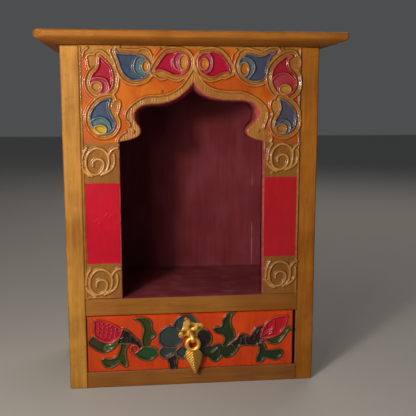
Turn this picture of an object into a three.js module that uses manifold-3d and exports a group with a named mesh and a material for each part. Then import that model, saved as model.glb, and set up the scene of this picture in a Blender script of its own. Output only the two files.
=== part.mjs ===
// A painted wooden home altar: a small upright cabinet with a cusped arch over an open niche,
// a moulded cornice and a drawer with a brass drop pull below the niche.
//
// Millimetres, +Z up. The origin is the middle of the footprint's bounding box, on the ground.
// The front faces -Y. Drawings on the front use x (right) and z (up) as [x, z] pairs.

import * as THREE from 'three';
import { mergeVertices } from 'three/addons/utils/BufferGeometryUtils.js';
import Module from 'manifold-3d';

const wasm = await Module();
wasm.setup();

// Driving dimensions.
const gap = 0.3; // between pieces that touch
const bodyWidth = 260;
const bodyDepth = 140;
const bodyHeight = 354;
const boardThickness = 18; // sides and shelf
const bottomThickness = 16.4;
const backThickness = 6;
const archThickness = 14;
const shelfTop = 97;
const corniceOverhang = 23;
const corniceHeight = 12.7;
const corniceRoot = 3; // how far past the body the moulding starts
const corniceRise = 2.6; // what its slope alone climbs
const noseFoot = 7.2; // height at which its face becomes upright
const noseRadius = 2.6;
const edgeRadius = 1.2; // worn edges of the side boards

// Piped gesso lines: raised above the wood, rooted a little below its face.
const lineHeight = 1.9;
const lineRoot = 0.4;
const lineWidth = 3;
const lineTurn = 0.6; // radians of bend from one point to the next
const lineStep = 40; // and the longest straight run between two

// The drawer hangs a little left of centre in its bay, as the real one does.
const drawerLeft = -111;
const drawerRight = 108;
const drawerBase = 17.3;
const drawerTop = 77.8;
const drawerRecess = 0.8;
const drawerFrontThickness = 12;
const drawerSideThickness = 7;
const drawerSideInset = 2;
const drawerSideHeight = 50;
const drawerLength = 106; // sides behind the front board
const drawerBottomThickness = 4;

// The brass pull: a four-petalled plate, a pin with an eye, and a ring with a leaf.
const plateCentre = [-2.9, 60.2];
const plateThickness = 1.2;
const plateTip = 15.8; // from the centre to where a petal's edges would meet
const plateBlunt = 14.4; // and to its cut-off tip
const plateNotch = 8.8;
const plateTurn = 21; // degrees that the petals are turned
const wireRadius = 1.3;
const wireWide = 2.2; // half the flattened wire's width
const eyeRadius = 4.3; // to the middle of the wire
const eyeBack = 4; // how far the eye's top leans back to the plate
const swingX = -1.1;
const swingZ = 53.3; // the hinge line, through the top of the ring
const swingStandoff = 7.4; // hinge line ahead of the drawer's face
const ringRadius = 6.3; // to the middle of the ring's bar
const ringBar = 2.35;
const leafThickness = 2.2;
const legRadius = 1.1; // the pin's two ends, bent flat behind the board
const clenchLength = 16;

// Levels and planes that follow from them.
const front = (corniceOverhang - bodyDepth) / 2;
const back = front + bodyDepth;
const innerHalf = bodyWidth / 2 - boardThickness;
const panelFront = back - backThickness;
const drawerFace = front + drawerRecess;

// Paints and metals.
const gold = { color: '#b5873c', roughness: 0.6, metalness: 0.1 };
const goldDark = { color: '#8f6228', roughness: 0.65, metalness: 0.1 };
const orange = { color: '#c9601c', roughness: 0.6, metalness: 0.0 };
const maroon = { color: '#5a2228', roughness: 0.8, metalness: 0.0 };
const bareWood = { color: '#a9825a', roughness: 0.85, metalness: 0.0 };
const brass = { color: '#c39a48', roughness: 0.35, metalness: 0.9 };

// Geometry helpers.

function toSolid(geometry) {
  const bare = geometry.clone();
  bare.deleteAttribute('normal');
  bare.deleteAttribute('uv');
  const merged = mergeVertices(bare, 1e-4);
  return new wasm.Manifold(new wasm.Mesh({
    numProp: 3,
    vertProperties: Float32Array.from(merged.attributes.position.array),
    triVerts: Uint32Array.from(merged.index.array),
  }));
}

function toGeometry(solid) {
  const mesh = solid.getMesh();
  const geometry = new THREE.BufferGeometry();
  geometry.setAttribute('position', new THREE.BufferAttribute(mesh.vertProperties, 3));
  geometry.setIndex(new THREE.BufferAttribute(mesh.triVerts, 1));
  geometry.computeVertexNormals();
  return geometry;
}

function join(geometries) {
  return geometries.map(toSolid).reduce((whole, next) => whole.add(next));
}

// A box from its low corner to its high corner.
function block(low, high) {
  const size = high.map((value, axis) => value - low[axis]);
  const geometry = new THREE.BoxGeometry(...size);
  return geometry.translate(...low.map((value, axis) => value + size[axis] / 2));
}

// A skin over outlines with as many points each, from the first to the last, and round again to
// the first where it is a ring. Open ends are filled; flatten gives an outline's flat points,
// anticlockwise as seen from the far end.
function loft(outlines, flatten) {
  const count = outlines[0].length;
  const total = outlines.length * count;
  const index = [];
  for (let start = 0; start + (flatten ? count : 0) < total; start += count) {
    for (let i = 0; i < count; i += 1) {
      const a = start + i;
      const b = start + (i + 1) % count;
      const [c, d] = [a, b].map((corner) => (corner + count) % total);
      index.push(a, b, d, a, d, c);
    }
  }
  if (flatten) {
    for (const [a, b, c] of THREE.ShapeUtils.triangulateShape(flatten(outlines[0]), [])) {
      index.push(c, b, a);
    }
    for (const [a, b, c] of THREE.ShapeUtils.triangulateShape(flatten(outlines.at(-1)), [])) {
      index.push(...[a, b, c].map((corner) => corner + total - count));
    }
  }
  const geometry = new THREE.BufferGeometry();
  geometry.setAttribute('position', new THREE.Float32BufferAttribute(outlines.flat(2), 3));
  geometry.setIndex(index);
  return geometry;
}

const bezierPoints = (points, steps) => {
  const [a, b, c, d] = points.map(([x, z]) => new THREE.Vector2(x, z));
  const curve = d ? new THREE.CubicBezierCurve(a, b, c, d) : new THREE.QuadraticBezierCurve(a, b, c);
  return curve.getPoints(steps).map(({ x, y }) => [x, y]);
};

// Points on a smooth curve through the given ones, a new one wherever it has bent by lineTurn.
function bendPoints(points, closed) {
  const path = new THREE.CatmullRomCurve3(points.map(([x, z]) => new THREE.Vector3(x, z, 0)), closed);
  const fine = path.getSpacedPoints(Math.ceil(path.getLength() * 2));
  const heading = (i) => fine[i + 1].clone().sub(fine[i]);
  const kept = [0];
  for (let i = 1; i + 2 < fine.length; i += 1) {
    const last = kept.at(-1);
    if (heading(i).angleTo(heading(last)) > lineTurn || fine[i].distanceTo(fine[last]) > lineStep) {
      kept.push(i);
    }
  }
  const ends = closed ? [] : [fine.length - 1];
  return [...kept, ...ends].map((i) => [fine[i].x, fine[i].y]);
}

// One piped line: a ridge with a triangular section, laid along a curve on a face.
function pipedLine(points, face, closed = false) {
  const path = bendPoints(points, closed);
  const count = path.length;
  const sections = path.map(([x, z], i) => {
    const before = path[closed ? (i + count - 1) % count : Math.max(i - 1, 0)];
    const after = path[closed ? (i + 1) % count : Math.min(i + 1, count - 1)];
    const along = new THREE.Vector2(after[0] - before[0], after[1] - before[1]).setLength(lineWidth / 2);
    return [
      [x - along.y, face + lineRoot, z + along.x],
      [x, face - lineHeight, z],
      [x + along.y, face + lineRoot, z - along.x],
    ];
  });
  const corners = [[0, 0], [1, 1], [0, 2]].map(([u, v]) => new THREE.Vector2(u, v));
  return loft(sections, closed ? null : () => corners);
}

// A dot of gesso: a low six-sided cone.
function pipedDot([x, z], face, radius = 1.6) {
  const height = lineHeight + lineRoot;
  return new THREE.ConeGeometry(radius, height, 6)
    .rotateX(Math.PI)
    .translate(x, face + lineRoot - height / 2, z);
}

// The arch.
// Half of its edge, from the spring at the jamb over the cusp and the lobe to the ogee point.
function halfArch({ side, cusp, lobe, lobeZ, top, topAt, apexAt, apexZ, ogeeZ }) {
  const spring = [73.8, 259.4];
  const cuspZ = 269.5;
  const pieces = [
    bezierPoints([spring, [63, 261.5], [cusp, 263.5], [cusp, cuspZ]], 4),
    bezierPoints([[cusp, cuspZ], [cusp, 277], [lobe, 277.5], [lobe, lobeZ]], 5),
    bezierPoints([[lobe, lobeZ], [lobe, lobeZ + 8], [topAt + 9, top], [topAt, top]], 5),
    bezierPoints([[topAt, top], [20, top - 0.3], [9, ogeeZ], [apexAt, apexZ]], 7),
  ];
  return pieces.flatMap((points, i) => (i ? points.slice(1) : points)).map(([u, z]) => [side * u, z]);
}

// The hand-cut opening leans: it is wider at the front than at the back, most at the right lobe.
const archFront = [
  { side: -1, cusp: 52.4, lobe: 58.3, lobeZ: 285, top: 297.3, topAt: 40, apexAt: -1.6, apexZ: 318.4, ogeeZ: 305.5 },
  { side: 1, cusp: 56, lobe: 68.8, lobeZ: 288.5, top: 300.9, topAt: 50, apexAt: 1.6, apexZ: 318.4, ogeeZ: 305.5 },
];
const archBack = [
  { side: -1, cusp: 51, lobe: 53, lobeZ: 284, top: 294, topAt: 38, apexAt: -1.6, apexZ: 310.2, ogeeZ: 301 },
  { side: 1, cusp: 54.7, lobe: 62.4, lobeZ: 288.5, top: 298.2, topAt: 48, apexAt: 1.6, apexZ: 310.2, ogeeZ: 302 },
];

function archOutline([left, right], y) {
  const foot = 73.6;
  const below = shelfTop - 5;
  const rising = halfArch(left);
  const falling = halfArch(right).reverse().slice(1);
  return [[-foot, below], ...rising, ...falling, [foot, below]].map(([x, z]) => [x, y, z]);
}

// The cutter runs past both faces of the board, with its sides carried on at their own slope.
function archCutter() {
  const near = archOutline(archFront, front);
  const far = archOutline(archBack, front + archThickness);
  const beyond = (share) => near.map((point, i) => point.map((v, k) => v + (far[i][k] - v) * share));
  const flatten = (outline) => outline.map(([x, , z]) => new THREE.Vector2(z, x));
  return loft([beyond(-0.1), beyond(1.1)], flatten);
}

// The border line follows the arch about 9 mm outside it and runs up to a point above the ogee.
const archBorder = [
  { side: -1, cusp: 62.7, lobe: 67.3, lobeZ: 286, top: 305.3, topAt: 42, apexAt: -2.4, apexZ: 336.5, ogeeZ: 311 },
  { side: 1, cusp: 74, lobe: 77.3, lobeZ: 289, top: 309.5, topAt: 48, apexAt: 2.4, apexZ: 336.5, ogeeZ: 313 },
];

// Paisleys: a drop along a bent spine from the tip to the round heart, with a ball and a crescent.
// gapOut is the gold band's width, close is how far up its outer line goes on the bulging side.
const paisleys = [
  { tip: [-91.3, 343.1], bend: [-84.7, 334.1], heart: [-89.6, 319.5], radius: 11.7, sharp: 1.2,
    ball: [-94.4, 313.7, 5.8, 5.6], lobed: true, gapOut: 5.2, close: 0.55,
    crescent: [[-100.1, 321.4], [-91.5, 323.6], [-83.4, 318], [-85.8, 308.3]] },
  { tip: [-80.2, 301.5], bend: [-95.8, 297.1], heart: [-89.4, 280.3], radius: 12.2, sharp: 1.2,
    ball: [-92.5, 271.9, 6.3, 5], lobed: true, gapOut: 4.6, close: 0.3,
    crescent: [[-99, 278.9], [-91.5, 283.2], [-83.6, 279], [-83.7, 270.4]] },
  { tip: [-77.5, 349], bend: [-68.4, 339], heart: [-54.8, 332.3], radius: 12.2, sharp: 1.1,
    ball: [-45.6, 333.3, 3.6, 8], lobed: false, gapOut: 5.0, close: 0.1,
    crescent: [[-53.2, 343.9], [-57.2, 338], [-57, 330.5], [-51.5, 323.6]] },
  { tip: [-36.6, 329.5], bend: [-30.5, 342.5], heart: [-14.2, 337.2], radius: 11.6, sharp: 1.2,
    ball: [-9, 338.9, 4.2, 8.3], lobed: true, gapOut: 4.2, close: 0.35,
    crescent: [[-14.6, 348.1], [-18.3, 340], [-16.2, 332.5], [-9, 329.4]] },
  { tip: [37.6, 329.4], bend: [29, 342], heart: [16.9, 337.2], radius: 11.6, sharp: 0.9,
    ball: [11.5, 336.9, 4, 6.6], lobed: true, gapOut: 4.2, close: 0.35,
    crescent: [[16.4, 347.4], [20.8, 339.5], [19.5, 332], [14.4, 327.3]] },
  { tip: [84.4, 349.4], bend: [80.4, 336], heart: [62.6, 332.3], radius: 12.6, sharp: 0.9,
    ball: [52.8, 332.9, 4.7, 7.6], lobed: false, gapOut: 4.4, close: 0.25,
    crescent: [[52.1, 342.3], [60.5, 341], [63.9, 332.5], [57.1, 322.1]] },
  { tip: [100.4, 344.6], bend: [86.5, 337.1], heart: [93.9, 320.2], radius: 11.8, sharp: 1.2,
    ball: [95.9, 311.2, 5.6, 5.2], lobed: true, gapOut: 5.2, close: 0.5,
    crescent: [[83.3, 320.7], [90, 326.7], [97.5, 326.6], [105.1, 319.8]] },
  { tip: [88.8, 301.7], bend: [100.4, 291.6], heart: [95.4, 279.9], radius: 11, sharp: 1.2,
    ball: [93.2, 271.7, 5.6, 5.4], lobed: true, gapOut: 5.2, close: 0.35,
    crescent: [[89.1, 279.4], [95, 281.6], [101, 276.5], [100.3, 269.7]] },
];

// Where the spine is at s (0 at the tip, 1 at the heart), its direction, and the side that bulges.
function spineAt({ tip, bend, heart }, s) {
  const [a, b, c] = [tip, bend, heart].map(([x, z]) => new THREE.Vector2(x, z));
  const curve = new THREE.QuadraticBezierCurve(a, b, c);
  const along = curve.getTangent(s);
  const turn = Math.sign(c.clone().sub(a).cross(b.clone().sub(a)));
  return { at: curve.getPoint(s), along, outward: new THREE.Vector2(-along.y, along.x).multiplyScalar(turn) };
}

// The half-width grows from nothing at the tip to the radius at the heart along a quarter sine.
const dropHalfWidth = ({ radius, sharp }, s) => radius * Math.sin((Math.PI / 2) * s) ** sharp;

function dropSide(paisley, side, extra, values) {
  return values.map((s) => {
    const { at, outward } = spineAt(paisley, s);
    const point = at.addScaledVector(outward, side * (dropHalfWidth(paisley, s) + extra));
    return [point.x, point.y];
  });
}

// Round the heart, between two angles from the spine's own direction, in degrees.
function dropCap(paisley, extra, from, to, steps) {
  const { at, along, outward } = spineAt(paisley, 1);
  const reach = paisley.radius + extra;
  return Array.from({ length: steps + 1 }, (_, i) => {
    const angle = THREE.MathUtils.degToRad(from + ((to - from) * i) / steps);
    const point = at.clone()
      .addScaledVector(outward, reach * Math.sin(angle))
      .addScaledVector(along, reach * Math.cos(angle));
    return [point.x, point.y];
  });
}

// A drop is laid in one stroke round the heart, and a short one along the spine makes its tip.
function dropLines(paisley) {
  const rim = [0.16, 0.3, 0.5, 0.75];
  const round = [
    ...dropSide(paisley, -1, 0, rim),
    ...dropCap(paisley, 0, -90, 90, 6),
    ...dropSide(paisley, 1, 0, rim.toReversed()),
  ];
  const tip = [0.26, 0.12, 0].map((s) => spineAt(paisley, s).at.toArray());
  return [round, tip];
}

// The outer line: a lobe in the hollow beside the tip, then round the heart and up the other side.
// Lobe points are [along the chord, away from it], as shares of the chord's length.
const lobeShape = [[0, 0.22], [0.03, 0.38], [0.2, 0.44], [0.42, 0.38], [0.66, 0.5]];

function bandOutline(paisley) {
  const { tip, heart, gapOut, close, lobed } = paisley;
  const chord = new THREE.Vector2(heart[0] - tip[0], heart[1] - tip[1]);
  const { outward } = spineAt(paisley, 1);
  const across = new THREE.Vector2(-chord.y, chord.x);
  across.multiplyScalar(across.dot(outward) > 0 ? -1 : 1);
  const lobe = lobeShape.map(([u, v]) => [
    tip[0] + chord.x * u + across.x * v,
    tip[1] + chord.y * u + across.y * v,
  ]);
  const up = [0.8, 0.6, 0.4, 0.2].filter((s) => s > close);
  const start = lobed ? lobe : dropSide(paisley, -1, gapOut, [0.8]);
  const cap = dropCap(paisley, gapOut, -90, 90, 7);
  return [...start, ...cap, ...dropSide(paisley, 1, gapOut, [...up, close])];
}

function ovalRing([x, z, halfWidth, halfHeight], steps = 9) {
  return Array.from({ length: steps }, (_, i) => {
    const angle = (2 * Math.PI * i) / steps;
    return [x + halfWidth * Math.cos(angle), z + halfHeight * Math.sin(angle)];
  });
}

// Scroll blocks: a curl inside an upright ring with strokes beside it, four times alike. The points
// are counted from the block's middle.
const scrollCentres = [[-95.5, 238], [93.4, 241.4], [-94.9, 113.4], [92.9, 117.2]];
const scrollStrokes = [
  [[-5.2, -2.6], [-4.8, 1.6], [-1, 4.3], [3.4, 3.6], [5.8, 0], [5, -5], [1.6, -9.4], [-3.4, -11.2],
    [-8.4, -9.4], [-11.3, -4.6], [-12, 1.6], [-10.6, 7.6], [-7, 12.6], [-1.6, 15.2], [4.6, 14],
    [9.2, 9.6], [10.9, 3], [9.8, -4], [7.4, -8.4], [3.2, -11.6]],
  [[10.7, 8], [12.6, 11.4], [16, 14.8], [18, 15.4]],
  [[16, 8.8], [16.6, 4], [16, -1], [13.5, -5.6], [9.4, -8.8], [6, -10.6]],
  [[-15.2, -1], [-14.8, 5.4], [-13.4, 11.4], [-10.8, 15.6]],
  [[-15.2, -4.4], [-12.6, -8.6], [-9, -11.6], [-6, -12.8]],
];

function scrollLines([x, z], face) {
  return scrollStrokes.map((stroke) => pipedLine(stroke.map(([u, v]) => [x + u, z + v]), face));
}

// Lines along the joints with the side boards and along the foot of the left jamb.
const jointLines = [
  [[-109.7, 352.3], [-110, 300], [-109.6, 240], [-110.1, 160], [-109.8, 101.5]],
  [[109.9, 352.3], [109.6, 290], [110, 220], [109.7, 150], [109.9, 101.5]],
  [[-107.5, 99.4], [-92, 99.1], [-76.5, 99.5]],
];
const springCurls = [
  [[-75.6, 259.5], [-74.4, 263], [-71.9, 266.4], [-66.8, 270]],
  [[80.6, 258.2], [82.1, 262.6], [79.9, 267.7]],
];
const loneDots = [[-59.4, 269.3], [67.9, 269.8], [-105.3, 225.5], [82.4, 226.5], [-104.5, 104]];

function archFaceBoard() {
  const side = innerHalf - gap;
  const face = front;
  const board = block([-side, face, shelfTop + gap], [side, face + archThickness, bodyHeight]);
  const ridges = [
    ...archBorder.map((half) => pipedLine(halfArch(half).slice(5), face)),
    ...paisleys.flatMap((paisley) => dropLines(paisley).map((line) => pipedLine(line, face))),
    ...paisleys.map((paisley) => pipedLine(bandOutline(paisley), face)),
    ...paisleys.map(({ crescent }) => pipedLine(crescent, face)),
    ...paisleys.map(({ ball }) => pipedLine(ovalRing(ball), face, true)),
    ...scrollCentres.flatMap((centre) => scrollLines(centre, face)),
    ...jointLines.map((line) => pipedLine(line, face)),
    ...springCurls.map((line) => pipedLine(line, face)),
    ...loneDots.map((dot) => pipedDot(dot, face)),
  ];
  const bounds = block([-side, face - lineHeight, shelfTop + gap], [side, face + archThickness, bodyHeight]);
  return toGeometry(join([board, ...ridges]).subtract(toSolid(archCutter())).intersect(toSolid(bounds)));
}

// The cabinet.

// A side board: its front edges are rounded over by wear.
function sideBoard(side) {
  const half = boardThickness / 2;
  const outline = new THREE.Shape();
  outline.moveTo(-half, bodyDepth);
  outline.lineTo(-half, edgeRadius);
  outline.absarc(-half + edgeRadius, edgeRadius, edgeRadius, Math.PI, 1.5 * Math.PI);
  outline.lineTo(half - edgeRadius, 0);
  outline.absarc(half - edgeRadius, edgeRadius, edgeRadius, -Math.PI / 2, 0);
  outline.lineTo(half, bodyDepth);
  const geometry = new THREE.ExtrudeGeometry(outline, {
    depth: bodyHeight,
    bevelEnabled: false,
    curveSegments: 3,
  });
  return geometry.translate(side * (bodyWidth / 2 - half), front, 0);
}

// The cornice's moulding, as [reach past the body, height]: a slope that steepens along a quarter of
// an ellipse to the upright nose, and a quarter round over the nose.
function corniceProfile() {
  const quarter = (steps) => Array.from({ length: steps + 1 }, (_, i) => (Math.PI / 2) * (i / steps));
  const under = quarter(8).map((turn) => [
    corniceRoot + (corniceOverhang - corniceRoot) * Math.sin(turn),
    corniceRise * Math.sin(turn) + (noseFoot - corniceRise) * (1 - Math.cos(turn)),
  ]);
  const over = quarter(3).map((turn) => [
    corniceOverhang - noseRadius * (1 - Math.cos(turn)),
    corniceHeight - noseRadius * (1 - Math.sin(turn)),
  ]);
  return [...under, ...over];
}

function corniceTop() {
  const base = bodyHeight + gap;
  const outlines = corniceProfile().map(([reach, rise]) => {
    const half = bodyWidth / 2 + reach;
    const z = base + rise;
    return [[-half, front - reach, z], [half, front - reach, z], [half, back, z], [-half, back, z]];
  });
  return loft(outlines, (outline) => outline.map(([x, y]) => new THREE.Vector2(x, y)));
}

function shelfBoard() {
  const side = innerHalf - gap;
  return block([-side, front, shelfTop - boardThickness], [side, panelFront - gap, shelfTop]);
}

function bottomBoard() {
  const side = innerHalf - gap;
  return block([-side, front, 0], [side, panelFront - gap, bottomThickness]);
}

function backPanel() {
  const side = innerHalf - gap;
  return block([-side, panelFront, 0], [side, back, bodyHeight]);
}

// The drawer.

// Shapes painted and piped on the drawer's front: leaves pointed at both ends, from the base
// over a bend to the tip, with the half-width as the last value.
const drawerLeaves = [
  { base: [-79.3, 49.6], bend: [-95.3, 33], tip: [-110, 50.8], half: 5.6 },
  { base: [-50.1, 44], bend: [-45.5, 67], tip: [-60.1, 74.6], half: 4.6 },
  { base: [-49.5, 45], bend: [-46.5, 58.5], tip: [-39.9, 57.6], half: 3.6 },
  { base: [-38.5, 38.6], bend: [-50.2, 33.5], tip: [-62.8, 36.8], half: 5.8 },
  { base: [-76.6, 31.2], bend: [-86.1, 23], tip: [-97, 29.4], half: 4.6 },
  { base: [37.6, 40.5], bend: [31, 58.6], tip: [44.4, 76], half: 4.6 },
  { base: [36.5, 48], bend: [28.5, 52.5], tip: [21.9, 61.1], half: 3.4 },
  { base: [32, 41.7], bend: [20.3, 31], tip: [9.6, 37], half: 5.6 },
  { base: [42.5, 38.5], bend: [37.6, 27.5], tip: [27, 33], half: 5 },
  { base: [74.5, 49.1], bend: [78.8, 68.1], tip: [101.6, 71.1], half: 8.6 },
  { base: [75.7, 45], bend: [95, 39.5], tip: [106, 58], half: 3.8 },
  { base: [78, 29.9], bend: [86.9, 25.8], tip: [97, 31.5], half: 4.4 },
];

// Petals and the left flower: ovals with centre, half-width and half-height.
const drawerOvals = [
  [-93, 62.2, 13.2, 11.2],
  [-26.2, 52.4, 10.4, 10],
  [-10.7, 65, 9.6, 9],
  [12.7, 50.5, 7.6, 9],
  [-13.5, 36.5, 7.4, 7],
  [-27.5, 38, 8.4, 7],
];

// Open strokes: the stems and the upper and lower edges of the branches.
const drawerStrokes = [
  [[-74.6, 47.2], [-76.6, 38], [-78.8, 33]],
  [[-69.2, 46.6], [-71.6, 38], [-69.2, 23]],
  [[-76.4, 62.6], [-69, 60], [-62, 52.6], [-52.5, 46.5]],
  [[-78.4, 51], [-70.5, 47.4], [-62.5, 46.6], [-56, 42.6]],
  [[47, 46], [52.4, 51.4], [62, 51.4], [68.5, 58.4], [74, 58.6]],
  [[45.4, 33.6], [51.2, 41.2], [62, 40.4], [71.6, 42.6], [78, 48.4]],
  [[70.2, 40.6], [70, 31], [67.4, 22.4]],
  [[78.6, 39.2], [79, 31.4], [76.2, 21.8]],
  [[-26, 30.5], [-24.5, 24], [-23.6, 19.2]],
  [[-17, 30.5], [-18.4, 24], [-18.2, 19.2]],
  [[80.8, 53], [87, 58.4], [87.4, 67.4]],
];

// Half of a leaf's edge: the half-width swells and fades along the spine as a half sine.
function leafSide({ base, bend, tip, half }, side) {
  const [a, b, c] = [base, bend, tip].map(([x, z]) => new THREE.Vector2(x, z));
  const curve = new THREE.QuadraticBezierCurve(a, b, c);
  return [0, 0.15, 0.35, 0.6, 0.85, 1].map((s) => {
    const along = curve.getTangent(s);
    const width = side * half * Math.sin(Math.PI * s) ** 0.8;
    const at = curve.getPoint(s);
    return [at.x - along.y * width, at.y + along.x * width];
  });
}

function drawerFront() {
  const board = block(
    [drawerLeft, drawerFace, drawerBase],
    [drawerRight, drawerFace + drawerFrontThickness, drawerTop],
  );
  const ridges = [
    ...drawerLeaves.flatMap((leaf) => [-1, 1].map((side) => pipedLine(leafSide(leaf, side), drawerFace))),
    ...drawerOvals.map((oval) => pipedLine(ovalRing(oval), drawerFace, true)),
    ...drawerStrokes.map((stroke) => pipedLine(stroke, drawerFace)),
  ];
  // Under the brass plate the face stays flat, and the pin's shank has a hole through the board.
  const seat = new THREE.CylinderGeometry(plateTip + 0.6, plateTip + 0.6, 4, 24)
    .translate(plateCentre[0], drawerFace - 2, plateCentre[1]);
  const hole = shankRod(gap, drawerFace - 5, drawerFace + drawerFrontThickness + 5);
  const bounds = block(
    [drawerLeft, drawerFace - lineHeight, drawerBase],
    [drawerRight, drawerFace + drawerFrontThickness, drawerTop],
  );
  const carved = join([board, ...ridges]).intersect(toSolid(bounds));
  return toGeometry(carved.subtract(toSolid(seat)).subtract(toSolid(hole)));
}

function drawerSide(side) {
  const outer = side < 0 ? drawerLeft + drawerSideInset : drawerRight - drawerSideInset;
  const inner = outer - side * drawerSideThickness;
  const start = drawerFace + drawerFrontThickness + gap;
  return block(
    [Math.min(outer, inner), start, bottomThickness + gap],
    [Math.max(outer, inner), start + drawerLength, drawerBase + drawerSideHeight],
  );
}

const drawerInnerLeft = drawerLeft + drawerSideInset + drawerSideThickness + gap;
const drawerInnerRight = drawerRight - drawerSideInset - drawerSideThickness - gap;

function drawerBottom() {
  const start = drawerFace + drawerFrontThickness + gap;
  return block(
    [drawerInnerLeft, start, drawerBase + 1],
    [drawerInnerRight, start + drawerLength, drawerBase + 1 + drawerBottomThickness],
  );
}

function drawerBack() {
  const end = drawerFace + drawerFrontThickness + gap + drawerLength;
  return block(
    [drawerInnerLeft, end - drawerSideThickness, drawerBase + 1 + drawerBottomThickness + gap],
    [drawerInnerRight, end, drawerBase + drawerSideHeight],
  );
}

// The pull.

function shankRod(extra, from, to) {
  const radius = wireRadius + extra;
  return new THREE.CylinderGeometry(radius, radius, to - from, 10)
    .translate(plateCentre[0], (from + to) / 2, plateCentre[1]);
}

// Four petals: the edge goes out from the notches to the tips with 1 - |sin 2a|^1.1, and each tip is
// cut off square.
function pullPlate() {
  const steps = 48;
  const petal = Math.PI / 2;
  const points = Array.from({ length: steps }, (_, i) => {
    const angle = (2 * Math.PI * i) / steps;
    const full = plateNotch + (plateTip - plateNotch) * (1 - Math.abs(Math.sin(2 * angle)) ** 1.1);
    const fromAxis = ((angle + petal / 2) % petal) - petal / 2;
    const reach = Math.min(full, plateBlunt / Math.cos(fromAxis));
    const turned = angle + THREE.MathUtils.degToRad(plateTurn);
    return new THREE.Vector2(reach * Math.cos(turned), reach * Math.sin(turned));
  });
  const plate = new THREE.ExtrudeGeometry(new THREE.Shape(points), {
    depth: plateThickness,
    bevelEnabled: false,
  });
  plate.rotateX(Math.PI / 2).translate(plateCentre[0], drawerFace - gap, plateCentre[1]);
  const hole = shankRod(gap, drawerFace - 5, drawerFace + 5);
  return toGeometry(toSolid(plate).subtract(toSolid(hole)));
}

// The split pin: an eye bent from flattened wire, edge-on to the front. Its upper half is drawn up and
// back to the middle of the plate by the square of the turn's sine. There its shank goes through the
// board, and its two ends are bent up and down behind it.
function pullPin() {
  const eyeY = drawerFace - swingStandoff;
  const eye = new THREE.TorusGeometry(eyeRadius, wireRadius, 8, 18)
    .scale(1, 1, wireWide / wireRadius)
    .rotateY(Math.PI / 2);
  const places = eye.attributes.position;
  for (let i = 0; i < places.count; i += 1) {
    const [x, y, z] = [places.getX(i), places.getY(i), places.getZ(i)];
    const drawn = (Math.max(0, z) / Math.hypot(y, z)) ** 2;
    const rise = plateCentre[1] - swingZ - eyeRadius;
    places.setXYZ(i, x + drawn * (plateCentre[0] - swingX), y + drawn * eyeBack, z + drawn * rise);
  }
  eye.translate(swingX, eyeY, swingZ);
  const behind = drawerFace + drawerFrontThickness + gap + wireRadius;
  const shank = shankRod(0, eyeY + eyeBack, behind);
  const clench = new THREE.CylinderGeometry(legRadius, legRadius, clenchLength, 9)
    .rotateX(Math.PI / 2)
    .translate(plateCentre[0], behind, plateCentre[1]);
  return toGeometry(join([eye, shank, clench]));
}

// The drop: a ring that hangs in the eye and a pointed, veined leaf, cast as one.
function pullDrop() {
  const y = drawerFace - swingStandoff;
  const ringZ = swingZ - ringRadius;
  const ring = new THREE.TorusGeometry(ringRadius, ringBar, 8, 22)
    .rotateX(Math.PI / 2)
    .translate(swingX, y, ringZ);
  const leafTop = ringZ - ringRadius + 0.5;
  const tip = [swingX + 3.1, 14];
  const outline = new THREE.Shape();
  outline.moveTo(swingX - 2.6, leafTop);
  outline.bezierCurveTo(swingX - 6, leafTop - 1, swingX - 9.8, leafTop - 5, swingX - 8.4, leafTop - 11);
  outline.bezierCurveTo(swingX - 6.8, leafTop - 17, swingX - 1, leafTop - 22, tip[0] - 0.7, tip[1]);
  outline.lineTo(tip[0] + 0.7, tip[1]);
  outline.bezierCurveTo(swingX + 7, leafTop - 20, swingX + 10.6, leafTop - 13, swingX + 10.2, leafTop - 8);
  outline.bezierCurveTo(swingX + 10, leafTop - 3, swingX + 6, leafTop - 0.5, swingX + 2.6, leafTop);
  const leaf = new THREE.ExtrudeGeometry(outline, {
    depth: leafThickness,
    bevelEnabled: false,
    curveSegments: 7,
  });
  leaf.rotateX(Math.PI / 2).translate(0, y + leafThickness / 2, 0);
  return toGeometry(join([ring, leaf]));
}

// The assembled altar.

const group = new THREE.Group();

function place(name, geometry, finish) {
  const mesh = new THREE.Mesh(geometry, new THREE.MeshStandardMaterial(finish));
  mesh.name = name;
  group.add(mesh);
}

place('side_board_left', sideBoard(-1), gold);
place('side_board_right', sideBoard(1), gold);
place('cornice_top', corniceTop(), goldDark);
place('shelf_board', shelfBoard(), gold);
place('bottom_board', bottomBoard(), gold);
place('back_panel', backPanel(), maroon);
place('arch_face_board', archFaceBoard(), orange);
place('drawer_front', drawerFront(), orange);
place('drawer_side_left', drawerSide(-1), bareWood);
place('drawer_side_right', drawerSide(1), bareWood);
place('drawer_back', drawerBack(), bareWood);
place('drawer_bottom', drawerBottom(), bareWood);
place('pull_plate', pullPlate(), brass);
place('pull_pin', pullPin(), brass);
place('pull_drop', pullDrop(), brass);

export default group;
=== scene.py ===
import math

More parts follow.
